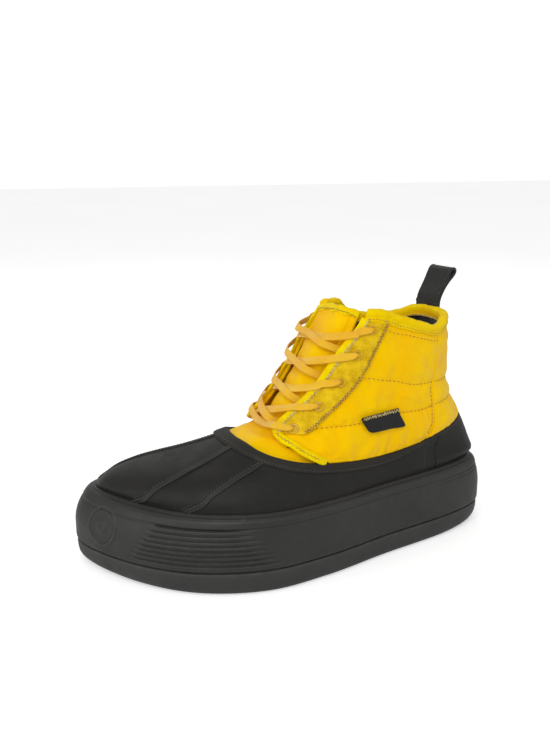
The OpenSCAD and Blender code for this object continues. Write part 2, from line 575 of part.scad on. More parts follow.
// The label is on the outer side; its edges in u, its foot and top in w
label_from = .2335;
label_to = .2745;
label_base = on_quilt+.3;
label_foot = function(u) 8.60+2*(label_to-u);
label_top = function(u) 9.66+6.8*(label_to-u);
module side_label() color([0.09,0.09,0.09]) patch(fixed(label_from), fixed(label_to),
  label_foot, label_top, 8, 4, flat(label_base+label_thick), flat(label_base));
module label_stitch_bar() color([0.88,0.84,0.74]) patch(fixed(label_from), fixed(label_to),
  function(u) label_top(u)+.04, function(u) label_top(u)+.22, 8, 2,
  flat(label_base+label_thick), flat(on_quilt));

outsole();
sidewall();
midsole_foam();
shank();
lasting_board();
footbed();
vamp_center();
vamp_inner_lateral();
vamp_inner_medial();
vamp_outer_lateral();
vamp_outer_medial();
heel_panel();
vamp_seam_ribs();
shell_band();
toe_puff();
heel_counter();
vamp_lining();
throat_panel();
quarter_lateral();
quarter_medial();
back_panel();
facing_lateral();
facing_medial();
facing_tape_lateral();
facing_tape_medial();
eyelets_lateral();
eyelets_medial();
lace();
tongue();
tongue_binding();
collar_binding();
collar_foam();
collar_lining();
loop_anchor();
pull_loop();
side_label();
label_stitch_bar();
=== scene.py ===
"""Winter boot: ribbed rubber shell, quilted nylon upper, laced throat and a rear pull loop.

Lengths are in mm until a mesh is made (Blender uses metres). +X points to the toe,
+Y to the lateral side, +Z up, and the ground is z = 0.

The boot surface is read at (u, w). u runs once round the boot: 0 at the heel, up the lateral
side to about .5 at the toe, back along the medial side. w is a fractional row of LEVELS.
"""
import bpy
import math
from types import SimpleNamespace
import numpy as np
from mathutils import Matrix, Vector


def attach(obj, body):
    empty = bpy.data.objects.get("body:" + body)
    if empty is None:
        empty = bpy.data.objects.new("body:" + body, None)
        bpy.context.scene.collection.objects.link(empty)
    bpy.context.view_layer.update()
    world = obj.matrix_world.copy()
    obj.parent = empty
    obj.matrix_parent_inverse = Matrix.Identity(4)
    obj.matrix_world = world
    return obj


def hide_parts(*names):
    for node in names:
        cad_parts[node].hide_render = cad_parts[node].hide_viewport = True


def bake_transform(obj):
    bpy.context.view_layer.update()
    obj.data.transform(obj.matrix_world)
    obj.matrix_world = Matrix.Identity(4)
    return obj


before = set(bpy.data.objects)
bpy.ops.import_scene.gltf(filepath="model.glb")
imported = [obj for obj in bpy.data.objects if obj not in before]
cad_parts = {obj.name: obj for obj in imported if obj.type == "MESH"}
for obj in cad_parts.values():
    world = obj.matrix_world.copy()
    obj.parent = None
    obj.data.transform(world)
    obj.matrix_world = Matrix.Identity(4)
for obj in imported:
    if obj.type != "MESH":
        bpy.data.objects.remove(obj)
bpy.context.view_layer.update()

# ---------------------------------------------------------------- driving sizes
# Round the sole, clockwise from above: x, y, inward lean of the sidewall, bevel of the outsole
STATIONS = np.array([
    (-153, -1, 6, 15), (-145, 22, 5, 12), (-112, 37, 2.5, 7), (-50, 50, 1, 6),
    (0, 62, 1.5, 6), (48, 66, 3, 6), (95, 51, 6, 8), (132, 19, 9.5, 12),
    (156, -24, 10.5, 16), (146, -52, 9.5, 12), (115, -55, 7, 7), (50, -52, 4, 6),
    (0, -46, 2, 6), (-50, -40, 1.5, 6), (-110, -39, 3, 7), (-144, -23, 5, 12)], float)
OUTLINE, LEAN, BEVEL = STATIONS[:, :2], STATIONS[:, 2], STATIONS[:, 3]
HEEL_X, TOE_X = OUTLINE[[0, 8], 0]

# Sections: z, heel x, toe x, y scale lateral and medial, blend to an oval,
# oval half width lateral and medial, outward flare of the medial throat
LEVELS = np.array([
    (44, -146.5, 139, .89, .84, 0, 55, 40, 0), (54, -147, 140.3, .89, .84, 0, 55, 40, 0),
    (60, -146, 138, .86, .82, .05, 54, 39.5, 0), (66, -144, 131, .81, .78, .12, 52.5, 39, 0),
    (71, -142, 119, .76, .74, .20, 51, 38.5, 0), (75, -140.5, 104, .72, .70, .30, 49, 38, 0),
    (79, -138.5, 86, .68, .67, .42, 47.5, 37.5, 0), (84, -136, 69, .64, .64, .58, 46, 37, 0),
    (90, -131.8, 51, .60, .60, .75, 44.5, 36.5, 0), (97, -126.8, 36, .58, .58, .90, 43, 36, 0),
    (106, -122.6, 27, .56, .56, 1, 41.5, 35.5, .05), (118, -118.6, 15, .56, .56, 1, 40, 35, .3),
    (133, -117.4, 3, .56, .56, 1, 38.5, 34.5, .7), (150, -117.6, -7, .56, .56, 1, 37, 34, 1.05),
    (165, -115.2, -18, .56, .56, 1, 36, 34, 1.4), (182, -112.8, -27, .56, .56, 1, 35.5, 34, 1.5)])
LEVEL_COUNT = len(LEVELS)
RING_POINTS = 96

SIDEWALL_TOP = 53.
SLAB_H = 16.6
WALL_T = 4.2
SHELL_T = 2.2
QUILT_OUT = 1.2                  # faces of the quilt, measured out from the boot surface
QUILT_IN = -2.2
COVER = QUILT_OUT+.3             # base of what lies on the quilt
LACE_OVER = COVER+3.             # lace above the facing and below it
LACE_UNDER = QUILT_IN-2.15
LACE_W = 5.3
FOAM_T = 3.
LINING = QUILT_IN-.6-FOAM_T-.6
ROLL_IN = LINING+3.              # inner face of the thinned roll at the rim

# Heights against u folded to 0 (heel) .. .5 (toe)
SHELL_TOP_Z = [(0, 90), (.084, 88.5), (.13, 84), (.16, 79.5), (.19, 76), (.23, 75.5), (.263, 77),
               (.294, 79), (.338, 82.5), (.403, 87.5), (.46, 90.5), (.5, 91)]
BAND_WIDTH = [(0, 9), (.1, 9), (.16, 8), (.23, 6.4), (.3, 4.6), (.4, 3.4), (.5, 3.6)]
RIM_Z = [(0, 166.2), (.05, 165.8), (.08, 165), (.134, 162), (.172, 160), (.2, 162.3),
         (.231, 165.5), (.253, 168.6), (.275, 171.3), (.306, 174.5), (.331, 175), (.403, 174.5)]
RIM_Z_MEDIAL = [(0, 166.2), (.05, 165.8), (.10, 164.2), (.15, 160), (.2, 158.5), (.24, 159.5),
                (.265, 161.8), (.29, 167.6), (.31, 171.4), (.34, 171.6), (.403, 171.6)]
# Upright lines on the lateral side: w, u
FACING_FRONT = [(5, .27), (5.9, .288), (6.35, .303), (7.15, .328), (8.15, .369), (8.75, .412),
                (9.1, .431), (9.5, .434), (10.35, .422), (11.1, .409), (12.15, .394),
                (13.25, .374), (13.75, .364), (15, .345)]
FACING_BACK = [(8, .368), (8.75, .359), (9.95, .341), (10.75, .325), (11.6, .309),
               (12.4, .297), (13.55, .288), (15, .278)]
RIB_FRONT = [(0, .441), (1, .441), (3.1, .435), (4.55, .436), (6.15, .449), (8, .465)]
RIB_SIDE = [(0, .386), (1.4, .384), (2.65, .376), (3.9, .370), (5.3, .371), (7, .376), (8, .378)]
# Quilting lines, upper and lower: u, w
QUILT_HIGH = [(0, 11.3), (.10, 11.2), (.159, 11.25), (.216, 11.35), (.250, 11.65),
              (.291, 11.9), (.345, 12.)]
QUILT_LOW = [(0, 10.1), (.10, 9.95), (.157, 9.85), (.191, 9.70), (.228, 9.75), (.278, 9.45),
             (.312, 9.45), (.36, 9.45)]
EYELETS = [(.319, 13.95), (.330, 12.85), (.345, 11.8), (.364, 10.7), (.389, 9.42)]  # u, w
HEEL_SEAM = .140                 # u of the heel panel edge and of the back panel edge
BACK_SEAM = .157
LABEL_U = (.2335, .2745)
LABEL_SHIFT = .0145              # how far the label's foot slides towards the heel
LOOP_U = .972
TONGUE_LEFT = [(9, .415), (10, .402), (12, .386), (14, .376), (15.2, .376)]         # w, u
TONGUE_RIGHT = [(9, .585), (10, .597), (12, .580), (13, .562), (14, .549), (15.2, .546)]


# ---------------------------------------------------------------- interpolation
def ease(x):
    """Smooth step from 0 to 1."""
    x = np.clip(x, 0, 1)
    return x*x*(3-2*x)


def mix(a, b, t):
    return a+(b-a)*t


def unit(v):
    return v/np.maximum(np.linalg.norm(v, axis=-1, keepdims=True), 1e-9)


def cubic(t):
    """Catmull-Rom weights of four neighbours."""
    t2 = t*t
    t3 = t2*t
    return np.stack([-.5*t+t2-.5*t3, 1-2.5*t2+1.5*t3, .5*t+2*t2-1.5*t3, -.5*t2+.5*t3], -1)


def wrap(table, u):
    """Closed cubic curve through the rows of a table."""
    u = np.asarray(u, float) % 1.
    i = np.floor(u*len(table)).astype(int)
    near = table[(i[..., None]+np.arange(-1, 3)) % len(table)]
    weights = cubic(u*len(table)-i).reshape(u.shape+(4,)+(1,)*(table.ndim-1))
    return (weights*near).sum(u.ndim)


def linear(x, table):
    return np.interp(x, *np.transpose(table))


def smooth(x, table):
    """Cubic reading of a table, so that drawn lines have no kinks."""
    X, Y = np.array(table, float).T
    slope = np.gradient(Y, X)
    x = np.clip(x, X[0], X[-1])
    i = np.clip(np.searchsorted(X, x)-1, 0, len(X)-2)
    h = X[i+1]-X[i]
    t = (x-X[i])/h
    t2, t3 = t*t, t**3
    return ((2*t3-3*t2+1)*Y[i]+(t3-2*t2+t)*h*slope[i]
            + (-2*t3+3*t2)*Y[i+1]+(t3-t2)*h*slope[i+1])


def cubic_path(points, steps):
    """Catmull-Rom subdivision of a path."""
    points = np.asarray(points, float)
    ends = 2*points[:1]-points[1:2], 2*points[-1:]-points[-2:-1]
    wide = np.concatenate([ends[0], points, ends[1]])
    weights = cubic(np.arange(steps)/steps)
    return np.concatenate([weights@wide[i:i+4] for i in range(len(points)-1)]+[points[-1:]])


def run_length(points, axis=0):
    """Distance along one axis of a grid of points, from 0."""
    steps = np.linalg.norm(np.diff(points, axis=axis), axis=-1)
    return np.insert(np.cumsum(steps, axis), 0, 0., axis)


# ---------------------------------------------------------------- boot surface
def at_height(xy, z):
    return np.column_stack([xy, np.broadcast_to(z, len(xy))])


def outline(u, inset):
    """Sole outline moved inwards."""
    u = np.asarray(u, float)
    along = wrap(OUTLINE, u+.002)-wrap(OUTLINE, u-.002)
    inward = np.stack([along[..., 1], -along[..., 0]], -1)
    return wrap(OUTLINE, u)+inward*(inset/np.linalg.norm(along, axis=-1))[..., None]


def ring(k, u):
    """Section k of the surface."""
    z, heel, toe, lateral, medial, oval, oval_lateral, oval_medial, flare = LEVELS[k]
    if k <= 1:                   # the two lowest sections follow the sidewall
        return at_height(outline(u, wrap(LEAN, u)+(6.2 if k == 0 else 5.2)), z)
    x, y = wrap(OUTLINE, u).T
    x = heel+(x-HEEL_X)/(TOE_X-HEEL_X)*(toe-heel)
    y = y*np.where(y > 0, lateral, medial)
    cos, sin = np.cos(2*np.pi*u), np.sin(2*np.pi*u)
    oval_x = (heel+toe)/2-(toe-heel)/2*np.sign(cos)*np.abs(cos)**.8
    oval_y = (np.where(sin > 0, oval_lateral, oval_medial)*np.sign(sin)*np.abs(sin)**.8
              + 2+.087*np.maximum(oval_x, -60))
    points = at_height(np.column_stack([mix(x, oval_x, oval), mix(y, oval_y, oval)]), z)
    opening = flare*ease((u-.49)/.06)*ease((.70-u)/.10)
    return points+opening[:, None]*np.array([3.6, -2., .5])


RINGS = np.stack([ring(k, np.arange(RING_POINTS)/RING_POINTS) for k in range(LEVEL_COUNT)])
RINGS = np.concatenate([2*RINGS[:1]-RINGS[1:2], RINGS, 2*RINGS[-1:]-RINGS[-2:-1]])


def both(u, w):
    return np.broadcast_arrays(np.asarray(u, float), np.asarray(w, float))


def surf(u, w):
    """Points of the boot surface."""
    u, w = both(u, w)
    column = (u % 1.)*RING_POINTS
    i = np.floor(column).astype(int)
    k = np.clip(np.floor(w).astype(int), 0, LEVEL_COUNT-2)
    weights_u, weights_w = cubic(column-i), cubic(w-k)
    total = 0
    for a in range(4):
        for b in range(4):
            point = RINGS[np.clip(k+a, 0, LEVEL_COUNT+1), (i+b-1) % RING_POINTS]
            total = total+(weights_w[..., a]*weights_u[..., b])[..., None]*point
    return total


def normal(u, w):
    """Outward normals of the boot surface."""
    u, w = both(u, w)
    return unit(np.cross(surf(u, w+.05)-surf(u, w-.05), surf(u+.004, w)-surf(u-.004, w)))


def raised(u, w, lift):
    return surf(u, w)+np.asarray(lift, float)[..., None]*normal(u, w)


def path(u, w, lift):
    """Raised points and their normals."""
    return raised(u, w, lift), normal(u, w)


def level(z):
    return np.interp(z, LEVELS[:, 0], np.arange(LEVEL_COUNT))


def fold(u):
    """u measured from the heel on either side."""
    u = np.asarray(u, float) % 1.
    return np.where(u > .5, 1-u, u)


def shell_top(u):
    return level(smooth(fold(u), SHELL_TOP_Z))


def rim(u):
    medial = np.asarray(u, float) % 1. > .5
    return level(np.where(medial, smooth(fold(u), RIM_Z_MEDIAL), smooth(fold(u), RIM_Z)))


def facing_front(w):
    return linear(w, FACING_FRONT)


def tape_line(w):
    """Front edge of the facing with its corner at the foot of the throat rounded."""
    shifts = np.linspace(-.38, .38, 13)
    weights = np.exp(-(shifts/.22)**2)
    return sum(a*facing_front(np.asarray(w)+b) for a, b in zip(weights, shifts))/weights.sum()


def facing_back(w):
    return linear(w, FACING_BACK)


def facing_back_edge(w):
    return facing_back(w)+.006*ease(9.9-w)


def rib_front(w):
    return smooth(w, RIB_FRONT)


def rib_side(w):
    return smooth(w, RIB_SIDE)


def label_low(u):
    return 8.60+2*(LABEL_U[1]-u)


def label_high(u, above=0.):
    return 9.70+above+6.8*(LABEL_U[1]-u)


def lining_face(u, w):
    """Inside of the collar padding, which thins out towards the rim."""
    return LINING+3.*ease((w-(rim(u)-1.5))/1.2)


# ---------------------------------------------------------------- mesh helpers
MATERIALS = {}


def add(ob, material, slot, *replaces, body="boot"):
    """Gives a piece its material, hangs it under its body's empty and hides the CAD parts it
    replaces.
    """
    ob.data.materials.append(MATERIALS[material])
    if body:
        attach(ob, body)
    if replaces:
        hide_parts(*replaces)
    return ob


def make_mesh(name, points, faces, uv, sharp):
    """Smooth mesh from mm points; edges above the sharp angle stay hard (0 keeps none)."""
    me = bpy.data.meshes.new(name)
    me.from_pydata((np.asarray(points, float).reshape(-1, 3)*.001).tolist(), [], faces)
    layer = me.uv_layers.new(name="UVMap")
    index = np.zeros(len(me.loops), np.int64)
    me.loops.foreach_get("vertex_index", index)
    layer.data.foreach_set("uv", np.asarray(uv, np.float32).reshape(-1, 2)[index].ravel())
    me.validate(clean_customdata=False)
    me.polygons.foreach_set("use_smooth", np.ones(len(me.polygons), bool))
    if sharp:
        me.set_sharp_from_angle(angle=math.radians(sharp))
    me.update()
    ob = bpy.data.objects.new(name, me)
    bpy.context.scene.collection.objects.link(ob)
    return ob


def quads(rows, columns, wrap_rows=False, wrap_columns=False):
    i, j = np.meshgrid(np.arange(rows if wrap_rows else rows-1),
                       np.arange(columns if wrap_columns else columns-1), indexing="ij")

    def at(i, j):
        return (i % rows)*columns+j % columns
    return np.stack([at(i, j), at(i+1, j), at(i+1, j+1), at(i, j+1)], -1).reshape(-1, 4)


def slab(name, outer, inner, uv, sharp):
    """Closed solid between an outer and an inner grid."""
    n, m = outer.shape[:2]
    k = n*m
    i, j = np.arange(n-1), np.arange(m-1)
    low, high = i*m, i*m+m-1
    last = (n-1)*m+j
    faces = [quads(n, m)[:, ::-1], quads(n, m)+k]
    for corners in ((low, low+m, k+low+m, k+low), (high, k+high, k+high+m, high+m),
                    (j, k+j, k+j+1, j+1), (last, last+1, k+last+1, k+last)):
        faces.append(np.stack(corners, -1))
    points = np.concatenate([outer.reshape(-1, 3), inner.reshape(-1, 3)])
    return make_mesh(name, points, np.concatenate(faces).tolist(), np.stack([uv, uv]), sharp)


def spacing(length, step, corner):
    """Positions 0 to 1 along a length, denser within the rounded ends."""
    ends = [x for x in (0, .06*corner, .25*corner, .6*corner, corner, 1.6*corner)
            if x < length/3]
    n = max(2, int((length-2*ends[-1])/step))
    middle = np.linspace(ends[-1], length-ends[-1], n+1)[1:-1]
    return np.array(ends+list(middle)+[length-x for x in ends[::-1]])/length


def as_line(value):
    """A number as a boundary function."""
    return value if callable(value) else (lambda x: np.zeros(np.shape(x))+value)


def surface_grid(left, right, low, high, step=1.7, corner=.8, step_w=None):
    """Grid between u lines left(w), right(w) and w lines low(u), high(u)."""
    left, right, low, high = map(as_line, (left, right, low, high))

    def fill(s, t):
        s, t = np.broadcast_arrays(s, t)
        u = np.full(s.shape, (float(left(np.array(5.)))+float(right(np.array(5.))))/2)
        w = mix(low(u), high(u), t)
        for _ in range(8):
            u = mix(left(w), right(w), s)
            w = mix(low(u), high(u), t)
        return mix(left(w), right(w), s), w

    coarse = np.linspace(0, 1, 17)
    points = surf(*fill(coarse[:, None], coarse[None]))
    size_u, size_w = run_length(points)[-1].max(), run_length(points, 1)[:, -1].max()
    u, w = fill(spacing(size_u, step, corner)[:, None],
                spacing(size_w, step_w or step, corner)[None])
    at = surf(u, w)
    along, up = run_length(at), run_length(at, 1)
    side, top = np.minimum(along, along[-1:]-along), up[:, -1:]-up
    return SimpleNamespace(u=u, w=w, at=at, out=normal(u, w), along=along, up=up,
                           side=side, top=top, edge=np.minimum(side, np.minimum(up, top)),
                           uv=np.stack([along-along[-1:]/2, up], -1))


def lift_grid(grid, lift):
    return grid.at+grid.out*np.asarray(lift)[..., None]


def edge_round(distance, radius):
    """Drop of a rounded edge at a distance from the rim."""
    return radius*(1-np.sqrt(np.maximum(0, 1-(1-np.clip(distance/radius, 0, 1))**2)))


def patch(name, left, right, low, high, outer, inner, step=1.7, corner=.7, step_w=None,
          grid_corner=None):
    """Sheet on the surface; outer and inner are lifts or functions of the grid."""
    grid = surface_grid(left, right, low, high, step, grid_corner or corner, step_w)
    outer, inner = (lift(grid) if callable(lift) else lift for lift in (outer, inner))
    outer = outer-edge_round(grid.edge, corner)
    return slab(name, lift_grid(grid, outer), lift_grid(grid, inner), grid.uv, 45)


def loft(name, points, uv=None, ring=True, sharp=45, flip=False):
    """Skin over closed sections points[i, j]; i is a closed ring or has capped ends."""
    n, m = points.shape[:2]
    if uv is None:
        along = run_length(points).mean(1)[:, None]
        uv = np.stack([np.repeat(along, m, 1), run_length(points, 1)], -1)
    faces = quads(n, m, ring, True).tolist()
    if not ring:
        faces += [list(range(m)), list(range(n*m-1, (n-1)*m-1, -1))]
    if flip:
        faces = [face[::-1] for face in faces]
    return make_mesh(name, points, faces, uv, sharp)


def section_frame(line, across):
    """Width and thickness directions along a path."""
    tangent = unit(np.gradient(line, axis=0))
    across = unit(across-tangent*(across*tangent).sum(-1, keepdims=True))
    return across, np.cross(tangent, across)


def sweep(name, line, across, width, thick, power, crown):
    """Flat band along a path with a superellipse section."""
    n, m = len(line), 20
    across, up = section_frame(line, across)
    half_w, half_t = (np.broadcast_to(size, n)[:, None]/2 for size in (width, thick))
    angle = np.linspace(0, 2*np.pi, m, endpoint=False)
    cos, sin = np.cos(angle), np.sin(angle)
    x = np.sign(cos)*np.abs(cos)**power
    y = np.sign(sin)*np.abs(sin)**(power+.25)*(1-crown*(1-x**2))
    points = line[:, None]+across[:, None]*(x*half_w)[..., None]+up[:, None]*(y*half_t)[..., None]
    uv = np.stack([np.repeat(run_length(line)[:, None], m, 1), x*half_w], -1)
    return loft(name, points, uv, ring=False, sharp=50)


# ---------------------------------------------------------------- stitches
def strands(name, material, starts, ends, out, radius, sag=0., body="boot"):
    """One small rounded strand from each start to its end."""
    rows, sides = 7, 6
    count = len(starts)
    run = ends-starts
    along = unit(run)
    side = unit(np.cross(unit(out), along))
    up = np.cross(along, side)
    x = np.linspace(0, 1, rows)
    taper = np.sqrt(np.maximum(.02, 1-(2*x-1)**4))
    taper[0] = taper[-1] = .12
    angle = np.linspace(0, 2*np.pi, sides, endpoint=False)
    swell = taper[None, :, None, None]*np.broadcast_to(radius, count)[:, None, None, None]
    centre = starts[:, None]+run[:, None]*x[:, None]+up[:, None]*(4*x*(1-x)*sag)[:, None]
    points = (centre[:, :, None]+side[:, None, None]*(np.cos(angle)[:, None]*swell)
              + up[:, None, None]*(np.sin(angle)[:, None]*swell*.75))
    base = np.arange(count)[:, None, None]*rows*sides
    faces = (base+quads(rows, sides, False, True)).reshape(-1, 4)[:, ::-1].tolist()
    for k in range(0, count*rows*sides, rows*sides):
        end = k+rows*sides
        faces += [list(range(k, k+sides)), list(range(end-1, end-sides-1, -1))]
    length = np.linalg.norm(run, axis=-1)[:, None, None]
    uv = np.stack(np.broadcast_arrays(x[:, None]*length, angle), -1)
    add(make_mesh(name, points, faces, uv, 0), material, "stitch", body=body)


def resample(points, out, step):
    """Points and unit normals every step along a path."""
    length = run_length(points)
    n = max(2, int(round(length[-1]/step)))
    x = np.linspace(0, length[-1], n+1)
    points, out = (np.stack([np.interp(x, length, column) for column in table.T], -1)
                   for table in (points, out))
    return points, unit(out)


def stitch_ends(points, out, pitch, duty, lift=0.):
    """Starts, ends and normals of a straight row; duty is thread length over pitch."""
    points, out = resample(points, out, pitch)
    starts = points[:-1]+out[:-1]*lift
    return starts, starts+(points[1:]-points[:-1])*duty, out[:-1]


def stitch_row(name, material, points, out, pitch, duty, radius, lift):
    strands(name, material, *stitch_ends(points, out, pitch, duty, lift), radius=radius, sag=.1)


def zigzag(name, material, points, out, pitch, width, radius, lift, seed, body="boot"):
    jitter = .12
    points, out = resample(points, out, pitch)
    along = unit(np.gradient(points, axis=0))
    across = unit(np.cross(out, along))
    random = np.random.RandomState(seed)
    n = len(points)
    sign = np.where(np.arange(n) % 2, 1, -1)[:, None]*(1+jitter*random.randn(n, 1))
    turns = (points+across*sign*width/2+along*jitter*pitch*random.randn(n, 1)*.5+out*lift)
    strands(name, material, turns[:-1], turns[1:], out[:-1],
            radius*(1+.15*random.randn(n-1)), sag=.25, body=body)


# ---------------------------------------------------------------- materials
def rgb(color, gain=1., add=0.):
    """Linear colour from 8-bit sRGB, scaled and shifted."""
    values = (c/255/12.92 if c/255 <= .04045 else ((c/255+.055)/1.055)**2.4 for c in color)
    return tuple(min(1., v*gain+add) for v in values)+(1.,)


class Shader:
    """Builds a Principled material; texture coordinates are in mm."""

    def __init__(self, name, weave=None):
        self.material = MATERIALS[name] = bpy.data.materials.new(name)
        self.material.use_nodes = True
        self.tree = self.material.node_tree
        self.bsdf = self.tree.nodes["Principled BSDF"]
        self.coords = self.node("TexCoord")
        self.place = self.mapping("Object")
        self.weave = self.mapping(weave) if weave else None
        self.bumped = None

    def node(self, kind):
        return self.tree.nodes.new("ShaderNode"+kind)

    def put(self, socket, value):
        if isinstance(value, bpy.types.NodeSocket):
            self.tree.links.new(value, socket)
        else:
            socket.default_value = value

    def mapping(self, space):
        node = self.node("Mapping")
        node.inputs["Scale"].default_value = (1. if space == "UV" else 1000.,)*3
        self.put(node.inputs["Vector"], self.coords.outputs[space])
        return node.outputs[0]

    def math(self, operation, *values):
        node = self.node("Math")
        node.operation = operation
        for i, value in enumerate(values if len(values) > 1 else values+(0.,)):
            self.put(node.inputs[i], value)
        return node.outputs[0]

    def noise(self, scale, detail=3., rough=.5, vector=None):
        node = self.node("TexNoise")
        for key, value in dict(Scale=scale, Detail=detail, Roughness=rough, Distortion=0.,
                               Vector=vector or self.place).items():
            self.put(node.inputs[key], value)
        return node.outputs["Fac"]

    def voronoi(self, scale):
        node = self.node("TexVoronoi")
        node.inputs["Scale"].default_value = scale
        self.put(node.inputs["Vector"], self.place)
        return node.outputs["Distance"]

    def remap(self, value, span, to=(0., 1.)):
        node = self.node("MapRange")
        for i, number in enumerate((value, *span, *to)):
            self.put(node.inputs[i], number)
        return node.outputs[0]

    def mix(self, factor, a, b):
        node = self.node("Mix")
        node.data_type = "RGBA"
        for i, value in ((0, factor), (6, a), (7, b)):
            self.put(node.inputs[i], value)
        return node.outputs[2]

    def weave_xy(self):
        node = self.node("SeparateXYZ")
        self.put(node.inputs[0], self.weave)
        return node.outputs[0], node.outputs[1]

    def wave(self, value, pitch):
        return self.math("SINE", self.math("MULTIPLY_ADD", value, 2*math.pi/pitch, 0.))

    def pointiness(self):
        return self.node("NewGeometry").outputs["Pointiness"]

    def bump(self, height, depth, strength):
        """Adds a bump (depth in mm) on top of the earlier ones."""
        node = self.node("Bump")
        node.inputs["Distance"].default_value = depth*.001
        node.inputs["Strength"].default_value = strength
        self.put(node.inputs["Height"], height)
        if self.bumped is not None:
            self.put(node.inputs["Normal"], self.bumped)
        self.bumped = node.outputs[0]
        self.put(self.bsdf.inputs["Normal"], self.bumped)

    def finish(self, **inputs):
        for key, value in inputs.items():
            self.put(self.bsdf.inputs[key.replace("_", " ")], value)


def make_rubber(name, color, dark, rough, grain, grain_depth, wear, spec, pebble):
    m = Shader(name)
    blotch = m.noise(scale=.028, detail=4, rough=.6)
    mottle = m.noise(scale=.22, detail=4, rough=.6)
    fine = m.noise(scale=grain, rough=.65)
    base = m.mix(m.remap(blotch, span=(.35, .7)), rgb(color), rgb(dark))
    base = m.mix(m.remap(mottle, span=(.55, .8), to=(0, .22)), base,
                 rgb(color, gain=1.9, add=.006))
    worn = m.remap(m.pointiness(), span=(.51, .60), to=(0, wear))
    worn = m.math("MULTIPLY", worn, m.remap(mottle, span=(.35, .65), to=(.3, 1)))
    base = m.mix(worn, base, rgb((96, 95, 92)))
    if pebble:
        m.bump(m.voronoi(pebble), depth=.05, strength=.5)
    m.bump(mottle, depth=.25, strength=.25)
    m.bump(fine, depth=grain_depth, strength=.7)
    gloss = m.remap(m.noise(scale=.06, detail=4, rough=.65), span=(.3, .72),
                    to=(rough-.09, rough+.11))
    m.finish(Base_Color=base, Roughness=gloss, Specular_IOR_Level=spec)


def make_fabric(name, color, dark, pitch, depth, rough, sheen, spec, blotch, wrinkle,
                space="UV", grid=0., grid_color=None):
    m = Shader(name, space)
    x, y = m.weave_xy()
    fine = m.noise(scale=1.6, detail=2, rough=.6, vector=m.weave)
    base = m.mix(m.remap(m.noise(scale=blotch, rough=.55), span=(.35, .68)),
                 rgb(color), rgb(dark))
    cloth = m.math("MULTIPLY", m.wave(x, pitch), m.wave(y, pitch))
    cloth = m.math("MULTIPLY_ADD", cloth, .5, .5)
    # painted shade: the colour is darkened in the hollows of the weave, where its bump is low
    weave_hollow_shade = m.math("MULTIPLY", m.math("SUBTRACT", 1., cloth), .12)
    base = m.mix(weave_hollow_shade, base, rgb(dark, gain=.55))
    base = m.mix(m.remap(fine, span=(.45, .75), to=(0, .10)), base,
                 rgb(color, gain=1.25, add=.02))
    if grid:                     # ripstop threads
        lines = [m.math("LESS_THAN", m.math("PINGPONG", axis, grid/2), grid*.075)
                 for axis in (x, y)]
        lines = m.math("MAXIMUM", *lines)
        base = m.mix(m.math("MULTIPLY", lines, .30), base, rgb(grid_color))
        m.bump(lines, depth=.05, strength=.5)
    m.bump(m.noise(scale=wrinkle), depth=.55, strength=.5)
    m.bump(cloth, depth=depth, strength=.7)
    m.bump(fine, depth=.05, strength=.5)
    gloss = m.remap(m.noise(scale=.09, rough=.6), span=(.3, .7), to=(rough-.08, rough+.08))
    tint = rgb(color, gain=1/max(rgb(color)[:3]), add=.04)
    m.finish(Base_Color=base, Roughness=gloss, Sheen_Weight=sheen*.6, Sheen_Roughness=.45,
             Sheen_Tint=tint, Specular_Tint=tint, Specular_IOR_Level=spec)


def make_thread(name, color, dark):
    m = Shader(name, "UV")
    x, y = m.weave_xy()
    twist = m.wave(m.math("MULTIPLY_ADD", y, .12, x), pitch=.42)
    base = m.mix(m.remap(m.noise(scale=.5, detail=2), span=(.35, .65)), rgb(color), rgb(dark))
    base = m.mix(m.remap(twist, span=(-1, 1), to=(0, .25)), base, rgb(dark, gain=.4))
    m.bump(twist, depth=.05, strength=.6)
    m.finish(Base_Color=base, Roughness=.6, Sheen_Weight=.25)


def make_lace():
    m = Shader("lace_braid", "UV")
    x, y = m.weave_xy()
    slant = m.math("ABSOLUTE", m.math("MULTIPLY", y, 1.2))
    braid = m.math("ABSOLUTE", m.wave(m.math("ADD", x, slant), pitch=1.5))
    base = m.mix(m.remap(m.noise(scale=.05), span=(.35, .65)),
                 rgb((255, 202, 30)), rgb((250, 184, 18)))
    # painted shade: the colour is darkened towards brown in the braid's grooves, where its bump
    # is low
    base = m.mix(m.remap(braid, span=(0, .6), to=(.30, 0)), base, rgb((176, 116, 12)))
    m.bump(braid, depth=.22, strength=.75)
    m.bump(m.noise(scale=1.8, detail=2, rough=.6, vector=m.weave), depth=.06, strength=.6)
    gloss = m.remap(m.noise(scale=.2, detail=2), span=(.3, .7), to=(.55, .7))
    m.finish(Base_Color=base, Roughness=gloss, Sheen_Weight=.35, Specular_IOR_Level=.3)


def make_enamel():
    m = Shader("eyelet_enamel")
    edges = m.remap(m.pointiness(), span=(.5, .62), to=(.4, 1.4))
    chips = m.math("MULTIPLY", m.noise(scale=.9, detail=4, rough=.7), edges)
    chips = m.remap(chips, span=(.52, .60))
    base = m.mix(m.remap(m.noise(scale=.3), span=(.35, .65)),
                 rgb((222, 178, 22)), rgb((200, 152, 14)))
    base = m.mix(chips, base, rgb((150, 122, 52)))
    m.bump(m.noise(scale=.7), depth=.05, strength=.5)
    gloss = m.remap(m.noise(scale=.5, detail=2), span=(.3, .7), to=(.24, .4))
    m.finish(Base_Color=base, Roughness=gloss, Metallic=m.math("MULTIPLY", chips, .8),
             Coat_Weight=.3)


def make_steel():
    m = Shader("shank_steel")
    grain = m.noise(scale=.8, rough=.7)
    base = m.mix(m.remap(m.noise(scale=.05, detail=4), span=(.35, .65)),
                 rgb((168, 170, 174)), rgb((146, 148, 152)))
    m.bump(grain, depth=.03, strength=.5)
    m.finish(Base_Color=base, Roughness=m.remap(grain, span=(.3, .7), to=(.28, .45)),
             Metallic=1.)


